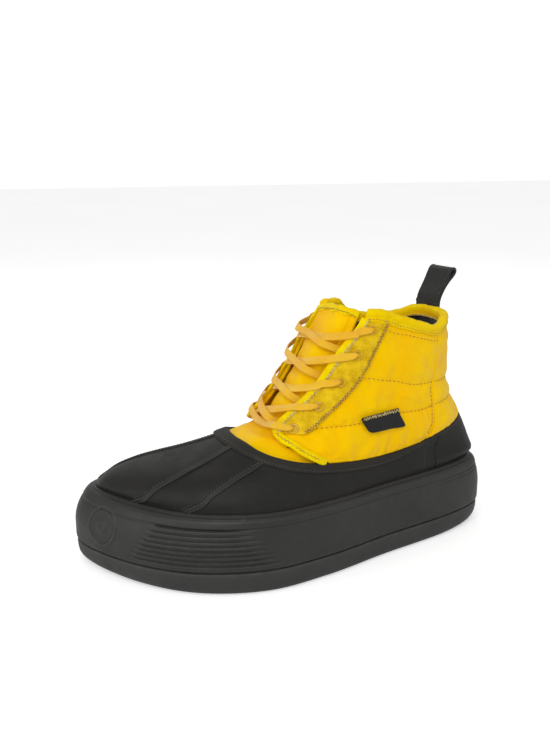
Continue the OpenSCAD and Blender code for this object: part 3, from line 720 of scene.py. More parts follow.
# name, two colours, roughness, grain scale, grain depth, edge wear, specular, pebble scale
RUBBERS = [
    ("rubber_shell", (29, 29, 26), (35, 34, 31), .47, 1.1, .035, .25, .20, 0),
    # painted shade: a slightly darker, less glossy copy of the shell rubber, used on the heel
    # panel
    ("rubber_shell_top", (28, 28, 25), (34, 33, 30), .46, 1.1, .03, .25, .18, 0),
    ("rubber_rib", (36, 36, 33), (42, 42, 39), .46, 1.2, .03, .35, .25, 0),
    ("rubber_band", (36, 34, 30), (42, 39, 34), .56, 1.6, .05, .2, .22, 0),
    ("rubber_sidewall", (38, 38, 36), (45, 45, 43), .48, .9, .05, .6, .38, .9),
    ("rubber_outsole", (44, 44, 43), (51, 51, 49), .55, .8, .06, .6, .45, .7)]
# name, two colours, weave pitch and depth, roughness, sheen, specular, blotch scale,
# wrinkle scale, and where they differ: weave space, ripstop pitch and colour
FABRICS = [
    ("nylon_quilt", (255, 208, 0), (255, 196, 0), .42, .04, .42, .10, .42, .035, .16),
    ("nylon_tongue", (255, 208, 0), (255, 192, 0), .42, .04, .44, .10, .4, .035, .2),
    ("ripstop_facing", (238, 198, 26), (200, 154, 6), .5, .05, .38, .2, .6, .18, .36,
     "UV", 2.4, (240, 208, 52)),
    ("binding_tape", (252, 224, 4), (244, 204, 0), .55, .12, .58, .2, .3, .12, .4),
    ("binding_collar", (253, 218, 2), (246, 200, 0), .55, .12, .58, .2, .3, .12, .36),
    ("lining_fleece", (22, 22, 23), (13, 13, 14), .8, .25, .9, .5, .15, .1, .6),
    ("webbing", (30, 30, 29), (22, 22, 22), 1.1, .28, .62, .35, .35, .06, .2),
    ("label_weave", (24, 24, 25), (17, 17, 18), .4, .08, .6, .25, .3, .12, .3),
    ("foam", (226, 222, 200), (206, 198, 170), .7, .12, .9, .1, .1, .035, .5, "Object"),
    ("footbed_felt", (38, 38, 41), (26, 26, 29), .9, .2, .9, .4, .12, .035, .5, "Object"),
    ("board", (176, 152, 112), (158, 132, 92), 1.4, .06, .8, .05, .2, .035, .15, "Object"),
    ("stiffener", (150, 138, 116), (132, 120, 98), 1.2, .05, .7, .05, .2, .035, .15, "Object")]
THREADS = [
    ("thread_quilt", (196, 112, 4), (150, 82, 6)),
    ("thread_cream", (240, 230, 170), (176, 138, 50)),
    ("thread_tan", (196, 158, 70), (134, 88, 22)),
    ("thread_lemon", (214, 168, 14), (178, 124, 14)),
    ("thread_black", (58, 58, 56), (44, 44, 42))]


def make_materials():
    for make, table in ((make_rubber, RUBBERS), (make_fabric, FABRICS), (make_thread, THREADS)):
        for row in table:
            make(*row)
    make_lace()
    make_enamel()
    make_steel()


# ---------------------------------------------------------------- sole unit
# Outsole edge from its top down: z, share of the bevel, further inset
OUTSOLE_EDGE = [
    (SLAB_H, 0, 3.4), (SLAB_H, 0, 2.), (16.2, 0, 1.15), (15.4, 0, .85), (14, 0, .75),
    (11, 0, .95), (8, 0, 1.5), (6, .09, 1.1), (4.3, .18, .95), (2.9, .27, .95),
    (1.8, .37, 1.), (.9, .47, 1.2), (.3, .57, 1.5), (0, .66, 2.)]


def outsole():
    """Rubber slab with a rounded edge and a chevron tread on its ground face."""
    def middle_y(x):
        return 2.5-11*ease((x-20)/90)

    u = np.arange(480)/480
    sides = [at_height(outline(u, wrap(BEVEL, u)*share+inset), z)
             for z, share, inset in OUTSOLE_EDGE]
    edge = sides[-1][:, :2]
    spine_x = np.clip(edge[:, 0], -100, 100)*.93
    spine = np.stack([spine_x, middle_y(spine_x)], -1)
    ground = []
    for a in np.linspace(0, 1, 60)[1:]:
        xy = mix(edge, spine, a)
        x = xy[:, 0]
        off = np.abs(xy[:, 1]-middle_y(x))
        chevron = ease((2.6-np.abs((x-.55*off) % 17.-8.5))/1.1)
        counter = ease((.7-np.abs((x+.55*off) % 17.-8.5))/.4)
        zone = np.maximum(ease((-52-x)/4), ease((x-12)/5))
        arch = (1-zone)*ease((1.2-np.abs((x % 6.)-3.))/1.)*.9
        z = 3.*np.maximum(chevron, ease(2.-off))*zone+arch+.35*zone*counter
        margin = ease((np.linalg.norm(edge-xy, axis=-1)-5)/2.5)
        ground.append(at_height(xy, z*margin))
    top = [at_height(mix(outline(u, 3.4), spine, a), SLAB_H) for a in (.999, .35, .06)]
    points = np.stack(top+sides+ground, 1)
    points[:, -1, 2] = points[:, -1, 2].mean()
    add(loft("outsole_tread", points, sharp=38), "rubber_outsole", "outsole", "outsole")


def groove_window(u, z):
    """Where the sidewall's level grooves run, on the lateral forefoot."""
    return ease((.437-.0009*(z-22)-u)/.008)*ease((u-.290-.0012*(z-22))/.03)


def toe_emblem(u, z):
    """Round relief at the toe: two rings and a dome."""
    away = np.linalg.norm(wrap(OUTLINE, u)-wrap(OUTLINE, .464), axis=-1)
    d = np.hypot(away, z-37.)
    rings = ease((1.2-np.abs(d-12.6))/.8)*.8+ease((.8-np.abs(d-9.6))/.5)*.5
    return -(rings+.6*ease((5.6-d)/2.4)*(1-.75*ease((3.2-d)/1.2)))


def sidewall():
    u = np.arange(1080)/1080
    lean = wrap(LEAN, u)
    heights = ([16.9, 17.05, 17.4, 17.9, 18.6, 19.4, 20.1, 20.8]+list(np.arange(21.6, 46.4, .34))
               + [46.7, 47.0, 47.3, 47.6, 47.9, 48.2, 48.6, 49.2, 50, 50.9, 51.6, 52.2, 52.6,
                  52.87, SIDEWALL_TOP])
    rows = []
    for z in heights:
        rise = max(0., (z-30)/(SIDEWALL_TOP-30))
        inset = .12+lean*rise*rise*.98
        inset = inset+1.55*np.exp(-((z-SLAB_H)/1.25)**2)+.25*ease((20.2-z)/2.4)
        inset = (inset+.55*np.exp(-((z-46.9)/.55)**2)-.35*ease((z-47.4)/1.2)
                 + 1.21*ease((z-50.6)/2.6)**2)                # rolled lip
        for i in range(8):
            groove = SLAB_H+6.+i*3.4
            inset = inset+1.35*np.exp(-(abs(z-groove)/.66)**3.4)*groove_window(u, groove)
        inset = inset+toe_emblem(u, z)
        # second line round the heel
        inset = inset+.55*np.exp(-((z-44.2)/.5)**2)*ease((.16-fold(u))/.03)
        rows.append(at_height(outline(u, inset), z))
    for above, further in ((.10, .35), (.25, .9), (.45, 1.7)):
        rows.append(at_height(outline(u, inset+further), SIDEWALL_TOP+above))
    # over the lip and down the inside: z, share of the lean, further inset
    for z, share, further in ((53.9, 1, 2.9), (54.45, 1, 3.9), (54.75, 1, 4.7), (54.6, 1, 5.1),
                              (53.6, 1, 5.2), (50.4, 1, 5.35), (48., 1, 5.35), (44, 1, 4.9),
                              (26, 0, 3.6+WALL_T), (16.9, 0, 3.+WALL_T)):
        rows.append(at_height(outline(u, lean*share+further), z))
    add(loft("sidewall_cup", np.stack(rows, 1)[:, ::-1], sharp=48),
        "rubber_sidewall", "sidewall", "sidewall")


def footbed():
    u = np.arange(220)/220
    edge = outline(u, wrap(LEAN, u)+WALL_T+8.4)
    spine_x = np.clip(edge[:, 0], -95, 85)*.93
    spine = np.stack([spine_x, 1.5-8*ease((spine_x-20)/90)], -1)
    rows = []
    for a in np.linspace(0, 1, 26):
        xy = mix(edge, spine, a)
        x = xy[:, 0]
        thick = 6.2+3.2*np.clip((-x-20)/80, 0, 1)
        rise = ease((.16-a)/.16)-1.6*ease(a*2.2)*(.4+.6*ease((-x-40)/50))
        rows.append(at_height(xy, 38.7+thick+rise-edge_round(a*40, 1.2)))
    rows += [at_height(mix(edge, spine, a), 38.75) for a in np.linspace(1, 0, 8)]
    add(loft("footbed_contoured", np.stack(rows, 1), sharp=50, flip=True),
        "footbed_felt", "footbed", "footbed")


# ---------------------------------------------------------------- rubber shell
def shell_panels():
    gap, heel_gap = .0013, .0003
    panels = [
        ("vamp_center", lambda w: rib_front(w)+gap, lambda w: 1-rib_front(w)-gap),
        ("vamp_inner_lateral", lambda w: rib_side(w)+gap, lambda w: rib_front(w)-gap),
        ("vamp_inner_medial", lambda w: 1-rib_front(w)+gap, lambda w: 1-rib_side(w)-gap),
        ("vamp_outer_lateral", HEEL_SEAM+heel_gap, lambda w: rib_side(w)-gap),
        ("vamp_outer_medial", lambda w: 1-rib_side(w)+gap, 1-HEEL_SEAM-heel_gap),
        ("heel_panel", -HEEL_SEAM+heel_gap, HEEL_SEAM-heel_gap)]
    for name, left, right in panels:
        heel = name == "heel_panel"
        lift = .12 if heel else 0.

        def uneven(grid):
            x, y, z = np.moveaxis(grid.at, -1, 0)
            phase = lift*5
            return lift+.16*np.sin(x*.11+y*.07+phase)*np.sin(y*.13-z*.09+phase)
        ob = patch(name+"_rubber", left, right, .1, lambda u: shell_top(u)-.02, uneven,
                   -SHELL_T, step=2., corner=.3, step_w=2.2)
        # the heel panel takes the darker copy of the shell rubber, which is painted shade
        add(ob, "rubber_shell_top" if heel else "rubber_shell", "shell_rubber", name)


def shell_ribs():
    """Raised strips over the four vamp seams, with rows of stitches on and beside them."""
    x = np.array([-1., -.97, -.86, -.62, -.3, 0, .3, .62, .86, .97, 1.])
    height = np.array([0, .45, .85, 1, .93, .9, .93, 1, .85, .45, 0])
    points, faces, uvs, threads = [], [], [], []
    base = 0
    for side in (1, -1):
        for rib in (rib_front, rib_side):
            w = np.linspace(.9, 8.2, 120)
            u = rib(w) if side > 0 else 1-rib(w)
            keep = w < shell_top(u)-.30
            line, out = path(u[keep], w[keep], 0.)
            across = unit(np.cross(out, unit(np.gradient(line, axis=0))))
            n = len(line)
            fade = (ease(np.arange(n)/5)*.8+.2)[:, None, None]
            top = (line[:, None]+across[:, None]*(x[:, None]*1.95)
                   + out[:, None]*(.05+height[:, None]*fade))
            bottom = line[:, None]+across[:, None]*(x[::-1, None]*1.9)-out[:, None]*.25
            strip = np.concatenate([top, bottom[:, 1:-1]], 1)
            m = strip.shape[1]
            uv = np.broadcast_arrays(run_length(line)[:, None], np.arange(m)*.6)
            faces += (base+quads(n, m, False, True)[:, [0, 3, 2, 1]]).tolist()
            faces += [list(range(base+m-1, base-1, -1)),
                      list(range(base+(n-1)*m, base+n*m))]
            points.append(strip.reshape(-1, 3))
            uvs.append(np.stack(uv, -1).reshape(-1, 2))
            base += n*m
            for offset, lift in ((-1.25, .97), (1.25, .97), (3., .12)):
                threads.append(stitch_ends(line+across*offset*side, out, 2.3, .6, lift))
    ob = make_mesh("vamp_seam_rib_strips", np.concatenate(points), faces,
                   np.concatenate(uvs), 50)
    add(ob, "rubber_rib", "shell_rubber", "vamp_seam_ribs")
    strands("vamp_rib_stitching", "thread_black", *map(np.concatenate, zip(*threads)),
            radius=.24)


# Section of the band: height share, lift
BAND_SECTION = [
    (0, 0), (0, .45), (.03, .8), (.09, 1.05), (.25, 1.2), (.5, 1.22), (.75, 1.15), (.90, 1.05),
    (.965, .8), (1, .4), (1, -.9), (1, -1.9), (.8, -2.), (.4, -.1)]


def shell_band():
    """Band round the top of the shell; it thins away towards the heel."""
    u = np.arange(420)/420
    folded = fold(u)
    fade = ease((folded-.135)/.06)
    width = linear(folded, BAND_WIDTH)*(.35+.65*fade)
    top = smooth(folded, SHELL_TOP_Z)
    scale = 1.35*fade+.30*(1-fade)
    rows = [raised(u, level(top-width*(1-share))-.04, lift*scale if lift > 0 else lift)
            for share, lift in BAND_SECTION]
    add(loft("shell_top_band", np.stack(rows, 1), sharp=50, flip=True),
        "rubber_band", "shell_rubber", "shell_band")
    keep = folded > .17
    w, lift = level(top-width*.80), 1.62*fade+.5*(1-fade)-.05
    stitch_row("shell_band_stitching", "thread_black", *path(u[keep], w[keep], lift[keep]),
               pitch=2.4, duty=.62, radius=.22, lift=0.)


def heel_seams():
    w = np.linspace(1., 7.3, 60)
    for sign, side in ((1, "lateral"), (-1, "medial")):
        stitch_row("heel_seam_stitching_"+side, "thread_black",
                   *path(sign*(HEEL_SEAM+.012), w, .02),
                   pitch=2.4, duty=.6, radius=.24, lift=.05)


def shell_lining():
    ob = patch("vamp_lining_felt", .17, .83, 1.1, lambda u: np.minimum(6.2, shell_top(u)-1.2),
               -SHELL_T-4.3, -SHELL_T-5.3, step=3, corner=.4)
    add(ob, "lining_fleece", "lining", "vamp_lining")


# ---------------------------------------------------------------- quilted upper
CLOTH = dict(
    quality=7, mass=.25, vertex_group_mass="pin", pin_stiffness=1., tension_stiffness=12,
    compression_stiffness=10, shear_stiffness=4, bending_stiffness=.06, tension_damping=8,
    compression_damping=8, shear_damping=8, bending_damping=.8, air_damping=2.,
    use_pressure=True, uniform_pressure_force=5., use_pressure_volume=False)


def swell(name, points, pin, shrink, frames):
    """Swells a sheet by cloth pressure with its pins held; returns the move in mm."""
    scene = bpy.context.scene
    n, m = points.shape[:2]
    me = bpy.data.meshes.new(name)
    me.from_pydata((points.reshape(-1, 3)*.001).tolist(), [], quads(n, m)[:, ::-1].tolist())
    me.update()
    ob = bpy.data.objects.new(name, me)
    scene.collection.objects.link(ob)
    group = ob.vertex_groups.new(name="pin")
    for k, weight in enumerate(pin.ravel()):
        if weight > .001:
            group.add([k], float(weight), "REPLACE")
    cloth = ob.modifiers.new("Cloth", "CLOTH")
    for key, value in CLOTH.items():
        setattr(cloth.settings, key, value)
    cloth.settings.shrink_min = shrink
    cloth.settings.effector_weights.gravity = 0.
    cloth.collision_settings.use_collision = False
    cloth.collision_settings.use_self_collision = False
    cloth.point_cache.frame_start = 1
    cloth.point_cache.frame_end = frames+5
    for i in range(1, frames+1):
        scene.frame_set(i)
    result = ob.evaluated_get(bpy.context.evaluated_depsgraph_get())
    moved = np.zeros(n*m*3, np.float32)
    result.data.vertices.foreach_get("co", moved)
    move = moved.reshape(n, m, 3).astype(float)*1000-points
    bpy.data.objects.remove(ob)
    bpy.data.meshes.remove(me)
    scene.frame_set(1)
    return np.nan_to_num(move)


def distance_to(points, lines):
    """Distance from each grid point to the nearest of some (u, w) lines."""
    nearest = np.full(points.shape[:2], 1e9)
    for u, w in lines:
        line = surf(u, w)
        for part in np.array_split(line, max(1, len(line)//40)):
            gaps = np.linalg.norm(points[:, :, None]-part, axis=-1)
            nearest = np.minimum(nearest, gaps.min(-1))
    return nearest


def quilt_line(table, start, end, count=240, medial=False):
    u = np.linspace(max(start, table[0][0]), min(end, table[-1][0]), count)
    return 1-u if medial else u, smooth(u, table)


def soften(field, times):
    for _ in range(times):
        p = np.pad(field, 1, mode="edge")
        field = .5*field+.125*(p[:-2, 1:-1]+p[2:, 1:-1]+p[1:-1, :-2]+p[1:-1, 2:])
    return field


def quilt_panel(side, left, right, seams, upright, cover, replaces, seed, puff=2.3):
    """Padded panel pinned down at its seams; cover is 1 where something lies on it."""
    name, corner = side+"_quilt", .9
    grid = surface_grid(left, right, lambda u: shell_top(u)-.16, lambda u: rim(u)-.16,
                        step=1.35, corner=corner)
    points, out, top = grid.at, grid.out, grid.top
    from_seam, from_upright = distance_to(points, seams), distance_to(points, upright)
    cover = np.maximum(cover(grid.u, grid.w), .9*ease(1-(top-5.)/3.))
    free = np.minimum(np.minimum(from_seam, grid.up+1.), np.minimum(top+.5, from_upright))
    base = QUILT_OUT-1.25
    swollen = puff*(1-np.exp(-np.maximum(free-.3, 0)/5.2))
    slide = 0*points
    pin = np.maximum(np.clip(1.15-free/1.5, 0, 1), ease(1-grid.side/2.2))
    pin = np.maximum(pin, cover)
    move = swell(name+"_sim", lift_grid(grid, base), pin, shrink=-.035, frames=20)
    length = np.linalg.norm(move, axis=-1)
    loose = pin < .05
    typical = np.percentile(length[loose], 90) if loose.any() else 1.
    move = move*(puff*1.08/max(typical, 1e-3))
    length = np.linalg.norm(move, axis=-1, keepdims=True)
    move = move*np.minimum(1, puff*1.5/np.maximum(length, 1e-6))
    outward = (move*out).sum(-1)
    slide = (move-outward[..., None]*out)*.35
    swollen = (.3*outward+.7*soften(outward, 7))*.60+swollen*.50
    # puckers: short folds that run away from the stitched lines
    phases = np.random.RandomState(seed).rand(3)*6.28
    along = grid.along-grid.along.mean()
    pucker = sum(size*np.sin(along*2*np.pi/pitch+phase+.25*grid.up/pitch*6.28*.3)
                 for size, pitch, phase in zip((.34, .26, .2), (9.5, 6.1, 15.), phases))
    pucker = (pucker*np.exp(-np.maximum(from_seam-.4, 0)/3.4)*ease(from_seam/1.1)
              + .45*pucker*np.exp(-top/4.)*ease(top/2.))
    x, z = points[..., 0], points[..., 2]
    ripple = .22*np.sin(x*.10+z*.06+seed)*np.sin(z*.12-x*.05+seed*2)
    lift = (base+swollen+(pucker+ripple)*(1-cover)-.55*np.exp(-(from_seam/.85)**2)
            - .5*np.exp(-(from_upright/.8)**2))
    lift = mix(lift, np.minimum(lift, 1.25), cover)
    lift = np.maximum(lift-edge_round(np.minimum(grid.side, top), corner), -1.9)
    # tucked in behind the shell
    above = grid.w-shell_top(grid.u)
    lift = np.minimum(lift, -.5+2.2*ease((above+.05)/.16)+np.where(above > .1, 9, 0))
    outer = lift_grid(grid, lift)+slide*(1-cover)[..., None]
    ob = slab(name, outer, lift_grid(grid, QUILT_IN), grid.uv, 0)
    add(ob, "nylon_quilt", "quilt", replaces)
    return points.reshape(-1, 3), lift.ravel()


def facing_cover(u, w):
    front = np.where(w >= 8.95, facing_back(w), facing_front(w)-.0145)
    return ease(1-(front-u)*430/5)


def lateral_cover(u, w):
    beside = np.maximum(np.maximum(LABEL_U[0]-LABEL_SHIFT-u, u-LABEL_U[1]), 0)*480
    beyond = np.maximum(np.maximum(label_low(u)-w, w-label_high(u, .18)), 0)*10.
    return np.maximum(facing_cover(u, w), ease(1-np.hypot(beside, beyond)/3.5))


def upper():
    w = np.linspace(6., 11.35, 90)
    lateral, medial = ([quilt_line(QUILT_HIGH, .12, .36, medial=m),
                        quilt_line(QUILT_LOW, .12, .37, medial=m)] for m in (False, True))
    back = []
    for table in (QUILT_HIGH, QUILT_LOW):
        u, line_w = quilt_line(table, 0., .2)
        back += [(u, line_w), (-u, line_w)]
    uprights = [(BACK_SEAM+.0035, w)], [(-BACK_SEAM-.0035, w)]
    panels = dict(
        lateral=quilt_panel("quarter_lateral", BACK_SEAM+.0004, lambda w: facing_front(w)-.006,
                            lateral, uprights[0], lateral_cover, "quarter_lateral", seed=3),
        medial=quilt_panel("quarter_medial", lambda w: 1-facing_front(w)+.006,
                           1-BACK_SEAM-.0004, medial, uprights[1],
                           lambda u, w: facing_cover(1-u, w), "quarter_medial", seed=5),
        back=quilt_panel("back_panel", -BACK_SEAM, BACK_SEAM, back, uprights[0]+uprights[1],
                         lambda u, w: 0*u, "back_panel", seed=8, puff=2.))
    threads = []

    def thread_row(u, w, panel, pitch=3.4):
        points, lifts = panels[panel]
        nearest = [np.argmin(((points-q)**2).sum(-1)) for q in surf(u, w)]
        threads.append(stitch_ends(*path(u, w, lifts[nearest]+.22), pitch, .62))

    for table, end in ((QUILT_HIGH, .322), (QUILT_LOW, .350)):
        for side in ("lateral", "medial"):
            thread_row(*quilt_line(table, BACK_SEAM+.002, end, 90, side == "medial"), side)
        u, line_w = quilt_line(table, 0, BACK_SEAM-.001, 60)
        thread_row(u, line_w, "back")
        thread_row(-u, line_w, "back")
    for sign, side in ((1, "lateral"), (-1, "medial")):
        thread_row(sign*(BACK_SEAM+.0085), np.linspace(7., 11.1, 60), side, pitch=3.)
    strands("quilting_thread", "thread_quilt", *map(np.concatenate, zip(*threads)), radius=.27)


def throat_panel():
    def edge(w):
        return linear(w, [(7.3, .297), (8.1, .374)])

    def outer(grid):
        lift = -1.6-1.8*ease((np.abs(grid.u-.5)-.055)/.03)-3.3*ease((grid.w-8.55)/.65)
        ripple = .25*np.sin(grid.at[..., 1]*.35+grid.at[..., 2]*.5)
        return lift+ripple*ease(grid.edge/4)

    ob = patch("throat_panel_fabric", edge, lambda w: 1-edge(w), lambda u: shell_top(u)-.12,
               lambda u: np.maximum(9.72, shell_top(u)+.5), outer,
               lambda grid: outer(grid)-1.5, step=1.6, corner=.5, step_w=1.2)
    add(ob, "nylon_tongue", "quilt", "throat_panel")


def tape_dive(u, w):
    """Drop of the facing tape where it runs in behind the shell."""
    return 3.1*ease((shell_top(u)+.42-w)/.42)


def facing(medial, side):
    def mirror(u):
        return 1-u if medial else u

    def outer(grid):
        x, z = grid.at[..., 0], grid.at[..., 2]
        press = sum(.9*np.exp(-(np.linalg.norm(grid.at-surf(mirror(u), w), axis=-1)/5.2)**2)
                    for u, w in EYELETS)
        ripple = .22*np.sin(z*.62+x*.31)*np.sin(z*.33-x*.21)
        return COVER+1.35+ripple*ease(grid.edge/2.5)-press*.55

    edges = [lambda w: mirror(facing_back_edge(w)), lambda w: mirror(facing_front(w)-.013)]
    if medial:
        edges.reverse()
    ob = patch("facing_%s_ripstop" % side, *edges, 8.97, lambda u: rim(u)-.22, outer,
               COVER-.2, step=1.1, corner=.55)
    add(ob, "ripstop_facing", "facing", "facing_"+side)

    # tape along the front edge, running down and back to the shell
    w = np.concatenate([np.linspace(6.05, 8.9, 56),
                        np.linspace(8.95, 14.24 if medial else 14.38, 90)])
    u = mirror(tape_line(w)-.0066)
    keep = w > shell_top(u)-.10
    u, w = u[keep], w[keep]
    line, out = path(u, w, COVER+.35-tape_dive(u, w))
    length = run_length(line)
    across = np.cross(out, unit(np.gradient(line, axis=0)))
    ob = sweep("facing_tape_%s_binding" % side, line+out*(.10*np.sin(length*.55))[:, None],
               across, width=5.9+.25*np.sin(length*.4+1), thick=2.5, power=.62, crown=-.12)
    add(ob, "binding_tape", "tape", "facing_tape_"+side)

    w = w[w > 9.]
    zigzag("facing_zigzag_front_"+side, "thread_cream",
           *path(mirror(tape_line(w)-.0160), w, COVER+1.5),
           pitch=1.25, width=2.5, radius=.28, lift=.12, seed=4+medial)
    w = np.linspace(9.1, 14.1 if medial else 14.2, 90)
    zigzag("facing_zigzag_back_"+side, "thread_tan",
           *path(mirror(facing_back_edge(w)+.0045), w, COVER+1.25),
           pitch=1.15, width=2.6, radius=.28, lift=.16, seed=14+medial)
    w = np.linspace(6.3, 8.9, 60)
    u = mirror(tape_line(w)-.0052)
    keep = w > shell_top(u)+.12
    u, w = u[keep], w[keep]
    zigzag("tape_zigzag_low_"+side, "thread_lemon", *path(u, w, COVER+1.62-tape_dive(u, w)),
           pitch=1.5, width=1.5, radius=.26, lift=.05, seed=24+medial)


# ---------------------------------------------------------------- tongue
# Binding section over the top edge: w shift, lift
TONGUE_BINDING = [
    (-.13, .35), (-.14, .7), (-.10, .95), (-.02, 1.05), (.07, .9), (.13, .35), (.155, -.7),
    (.155, -2.), (.145, -3.2), (.10, -4.3), (.02, -4.9), (-.08, -5.1), (-.12, -4.9),
    (-.13, -4.6), (-.06, -4.2), (-.06, -.2)]


def tongue_top(u):
    return 14.72-3*(np.abs(u-.462)*4)**2.4


def tongue_base(u, w):
    """Lift of the tongue's face: sunk, with a rounded middle."""
    a = np.minimum(np.abs(u-.478)/.085, 1)
    bulge = 3.8*np.maximum((np.cos(np.pi*a)+1)/2, 0)**.8
    return -6+bulge*ease((w-9.9)/.9)


def tongue():
    grid = surface_grid(lambda w: linear(w, TONGUE_LEFT), lambda w: linear(w, TONGUE_RIGHT),
                        9.8, tongue_top, step=1.35, corner=1.2)
    side, top, up = grid.side, grid.top, grid.up
    base = tongue_base(grid.u, grid.w)
    from_stitch = np.abs(side-6.5)               # stitched border
    free = np.minimum(np.minimum(side, top), from_stitch)
    swollen = 1-np.exp(-free/3.)-.35
    pin = np.maximum(np.clip(1.2-free/1.5, 0, 1), ease(1-up/5))
    move = swell("tongue_sim", lift_grid(grid, base), pin, shrink=-.03, frames=18)
    outward = (move*grid.out).sum(-1)
    typical = max(np.percentile(np.abs(outward[pin < .05]), 90), 1e-3)
    swollen = soften(np.clip(outward*1.1/typical, -1.2, 1.7), 4)*.75+swollen*.3
    ripple = .35*np.sin(up*.42+np.abs(grid.u-.5)*30)*ease((top-3)/6)*ease(side/5)
    rounding = edge_round(grid.edge, 1.6)
    outer = base+swollen+ripple-.5*np.exp(-(from_stitch/.8)**2)-rounding
    inner = base-4.6+rounding*.9-.4*np.sin(up*.3)*ease(side/6)
    ob = slab("tongue_padded", lift_grid(grid, outer), lift_grid(grid, inner), grid.uv, 0)
    add(ob, "nylon_tongue", "quilt", "tongue", body=None)
    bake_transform(ob)


def tongue_binding():
    ends = linear(14.4, TONGUE_LEFT)+.001, linear(14.4, TONGUE_RIGHT)-.001
    t = np.linspace(0, 1, 90)
    u = mix(*ends, t)
    w = tongue_top(u)
    base = tongue_base(u, w)
    full = .75+.25*ease(np.minimum(t, 1-t)/.03)
    length = run_length(raised(u, w, base))
    wobble = .05*np.sin(length*.5)+.03*np.sin(length*.23+1)
    rows = [raised(u, w+shift+wobble*(.4 if shift > 0 else .8), base+lift*full)
            for shift, lift in TONGUE_BINDING]
    ob = loft("tongue_binding_tape", np.stack(rows, 1), ring=False, sharp=60, flip=True)
    add(ob, "binding_tape", "tape", "tongue_binding", body="tongue")
    u = mix(*ends, np.linspace(.04, .96, 90))
    w = tongue_top(u)-.07
    zigzag("tongue_binding_stitching", "thread_tan", *path(u, w, tongue_base(u, w)+1.),
           pitch=1.5, width=.8, radius=.2, lift=.12, seed=31, body="tongue")


# ---------------------------------------------------------------- lace
# Through an eyelet, inside to outside: u shift, lift, width, thickness
EYELET_PASS = [(.0010, -2.6, 2.4, 1.3), (.0010, .6, 2.2, 1.2), (.0018, 3.9, 2.4, 1.25)]


def lace_point(u, w, lift, width, thick):
    """Position, width direction, width and thickness."""
    up = surf(u, w+.1)-surf(u, w-.1)
    return np.concatenate([raised(u, w, float(lift)), up/np.linalg.norm(up), [width, thick]])


def eyelet_pass(u, w):
    return [(u+shift, w, lift, width, thick) for shift, lift, width, thick in EYELET_PASS]


def lace_cross(i, medial):
    """From eyelet i over the throat to below the next eyelet of the other side."""
    (u, w), (next_u, next_w) = EYELETS[i:i+2]
    near, far = float(facing_front(w-.25)), 1-float(facing_front(next_w+.30))
    middle_w = (w+next_w)/2
    sag = .05 if i % 2 else -.05
    over = 3.8 if medial else 1.6                # medial strands cross on top
    rows = eyelet_pass(u, w)+[
        (u+.0065, w-.01, LACE_OVER+1.05, 3.3, 1.4),
        (u+.017, w-.05, LACE_OVER+.15, LACE_W*.88, 1.35),
        (mix(u+.017, near, .6), w-.12, LACE_OVER-.05, LACE_W*.97, 1.2),
        (near, w-.22+sag, LACE_OVER-.25, LACE_W, 1.15),
        (mix(near, .5, .55), mix(w-.25, middle_w, .55)+sag, mix(LACE_OVER, over, .75),
         LACE_W*1.02, 1.15),
        (.5, middle_w, over, LACE_W, 1.2),
        (mix(.5, far, .45), mix(middle_w, next_w+.2, .5), over-1.3, LACE_W, 1.2),
        (far, next_w+.2, LACE_UNDER+.35, LACE_W*.96, 1.2),
        (1-next_u-.018, next_w+.02, LACE_UNDER, LACE_W*.8, 1.2)]
    return [lace_point(1-row[0] if medial else row[0], *row[1:]) for row in rows]


def lace_bar():
    """Straight run between the two lowest eyelets, lateral to medial."""
    u, w = EYELETS[4]
    half = eyelet_pass(u, w)+[
        (u+.0065, w, LACE_OVER+1.05, 3.3, 1.4),
        (u+.017, w, LACE_OVER+.15, LACE_W*.88, 1.3),
        (float(facing_front(w)), w+.02, LACE_OVER+.3, LACE_W, 1.2),
        (.47, w+.03, .2, LACE_W, 1.2)]
    rows = half+[(.5, w, -.6, LACE_W, 1.2)]+[(1-row[0], *row[1:]) for row in half[::-1]]
    return [lace_point(*row) for row in rows]


def lace():
    from_medial, from_lateral = ([point for i in range(4)
                                  for point in lace_cross(i, medial=i % 2 == odd)]
                                 for odd in (0, 1))
    points = cubic_path(np.array(from_medial+lace_bar()[::-1]+from_lateral[::-1]), 9)
    length = run_length(points[:, :3])
    x = np.linspace(0, length[-1], int(length[-1]/.75))
    points = np.stack([np.interp(x, length, column) for column in points.T], -1)
    for _ in range(2):
        points[1:-1] = (points[:-2]+2*points[1:-1]+points[2:])/4
    across = points[:, 3:6]+.10*np.sin(x*.11)[:, None]*np.array([0, 0, 1.])
    wobble = .10*np.sin(x*.31)+.06*np.sin(x*.83+1)
    ob = sweep("lace_flat_woven", points[:, :3], across, width=points[:, 6]+wobble*1.2,
               thick=points[:, 7]*1.05, power=.6, crown=.16)
    add(ob, "lace_braid", "lace", "lace")


# ---------------------------------------------------------------- collar
# Binding section from outside over the rim to inside: w shift, lift, share of the wobble
COLLAR_BINDING = [
    (-.30, QUILT_OUT-.9, 0), (-.325, QUILT_OUT+.1, 1), (-.31, QUILT_OUT+.45, 1),
    (-.24, QUILT_OUT+.62, 1), (-.14, QUILT_OUT+.60, 1), (-.10, QUILT_OUT+.62, 1),
    (-.065, QUILT_OUT+1.05, 1), (0., QUILT_OUT+1.45, 1), (.08, QUILT_OUT+1.35, .9),
    (.16, QUILT_OUT+.6, .6), (.205, QUILT_OUT-.6, .3), (.205, ROLL_IN+1.6, 0),
    (.17, ROLL_IN+.5, 0), (.10, ROLL_IN-.45, 0), (.02, ROLL_IN-.9, 0), (-.05, ROLL_IN-.75, 0),
    (-.085, ROLL_IN-.35, 0), (-.07, ROLL_IN+.3, 0), (-.07, QUILT_OUT-2, 0)]


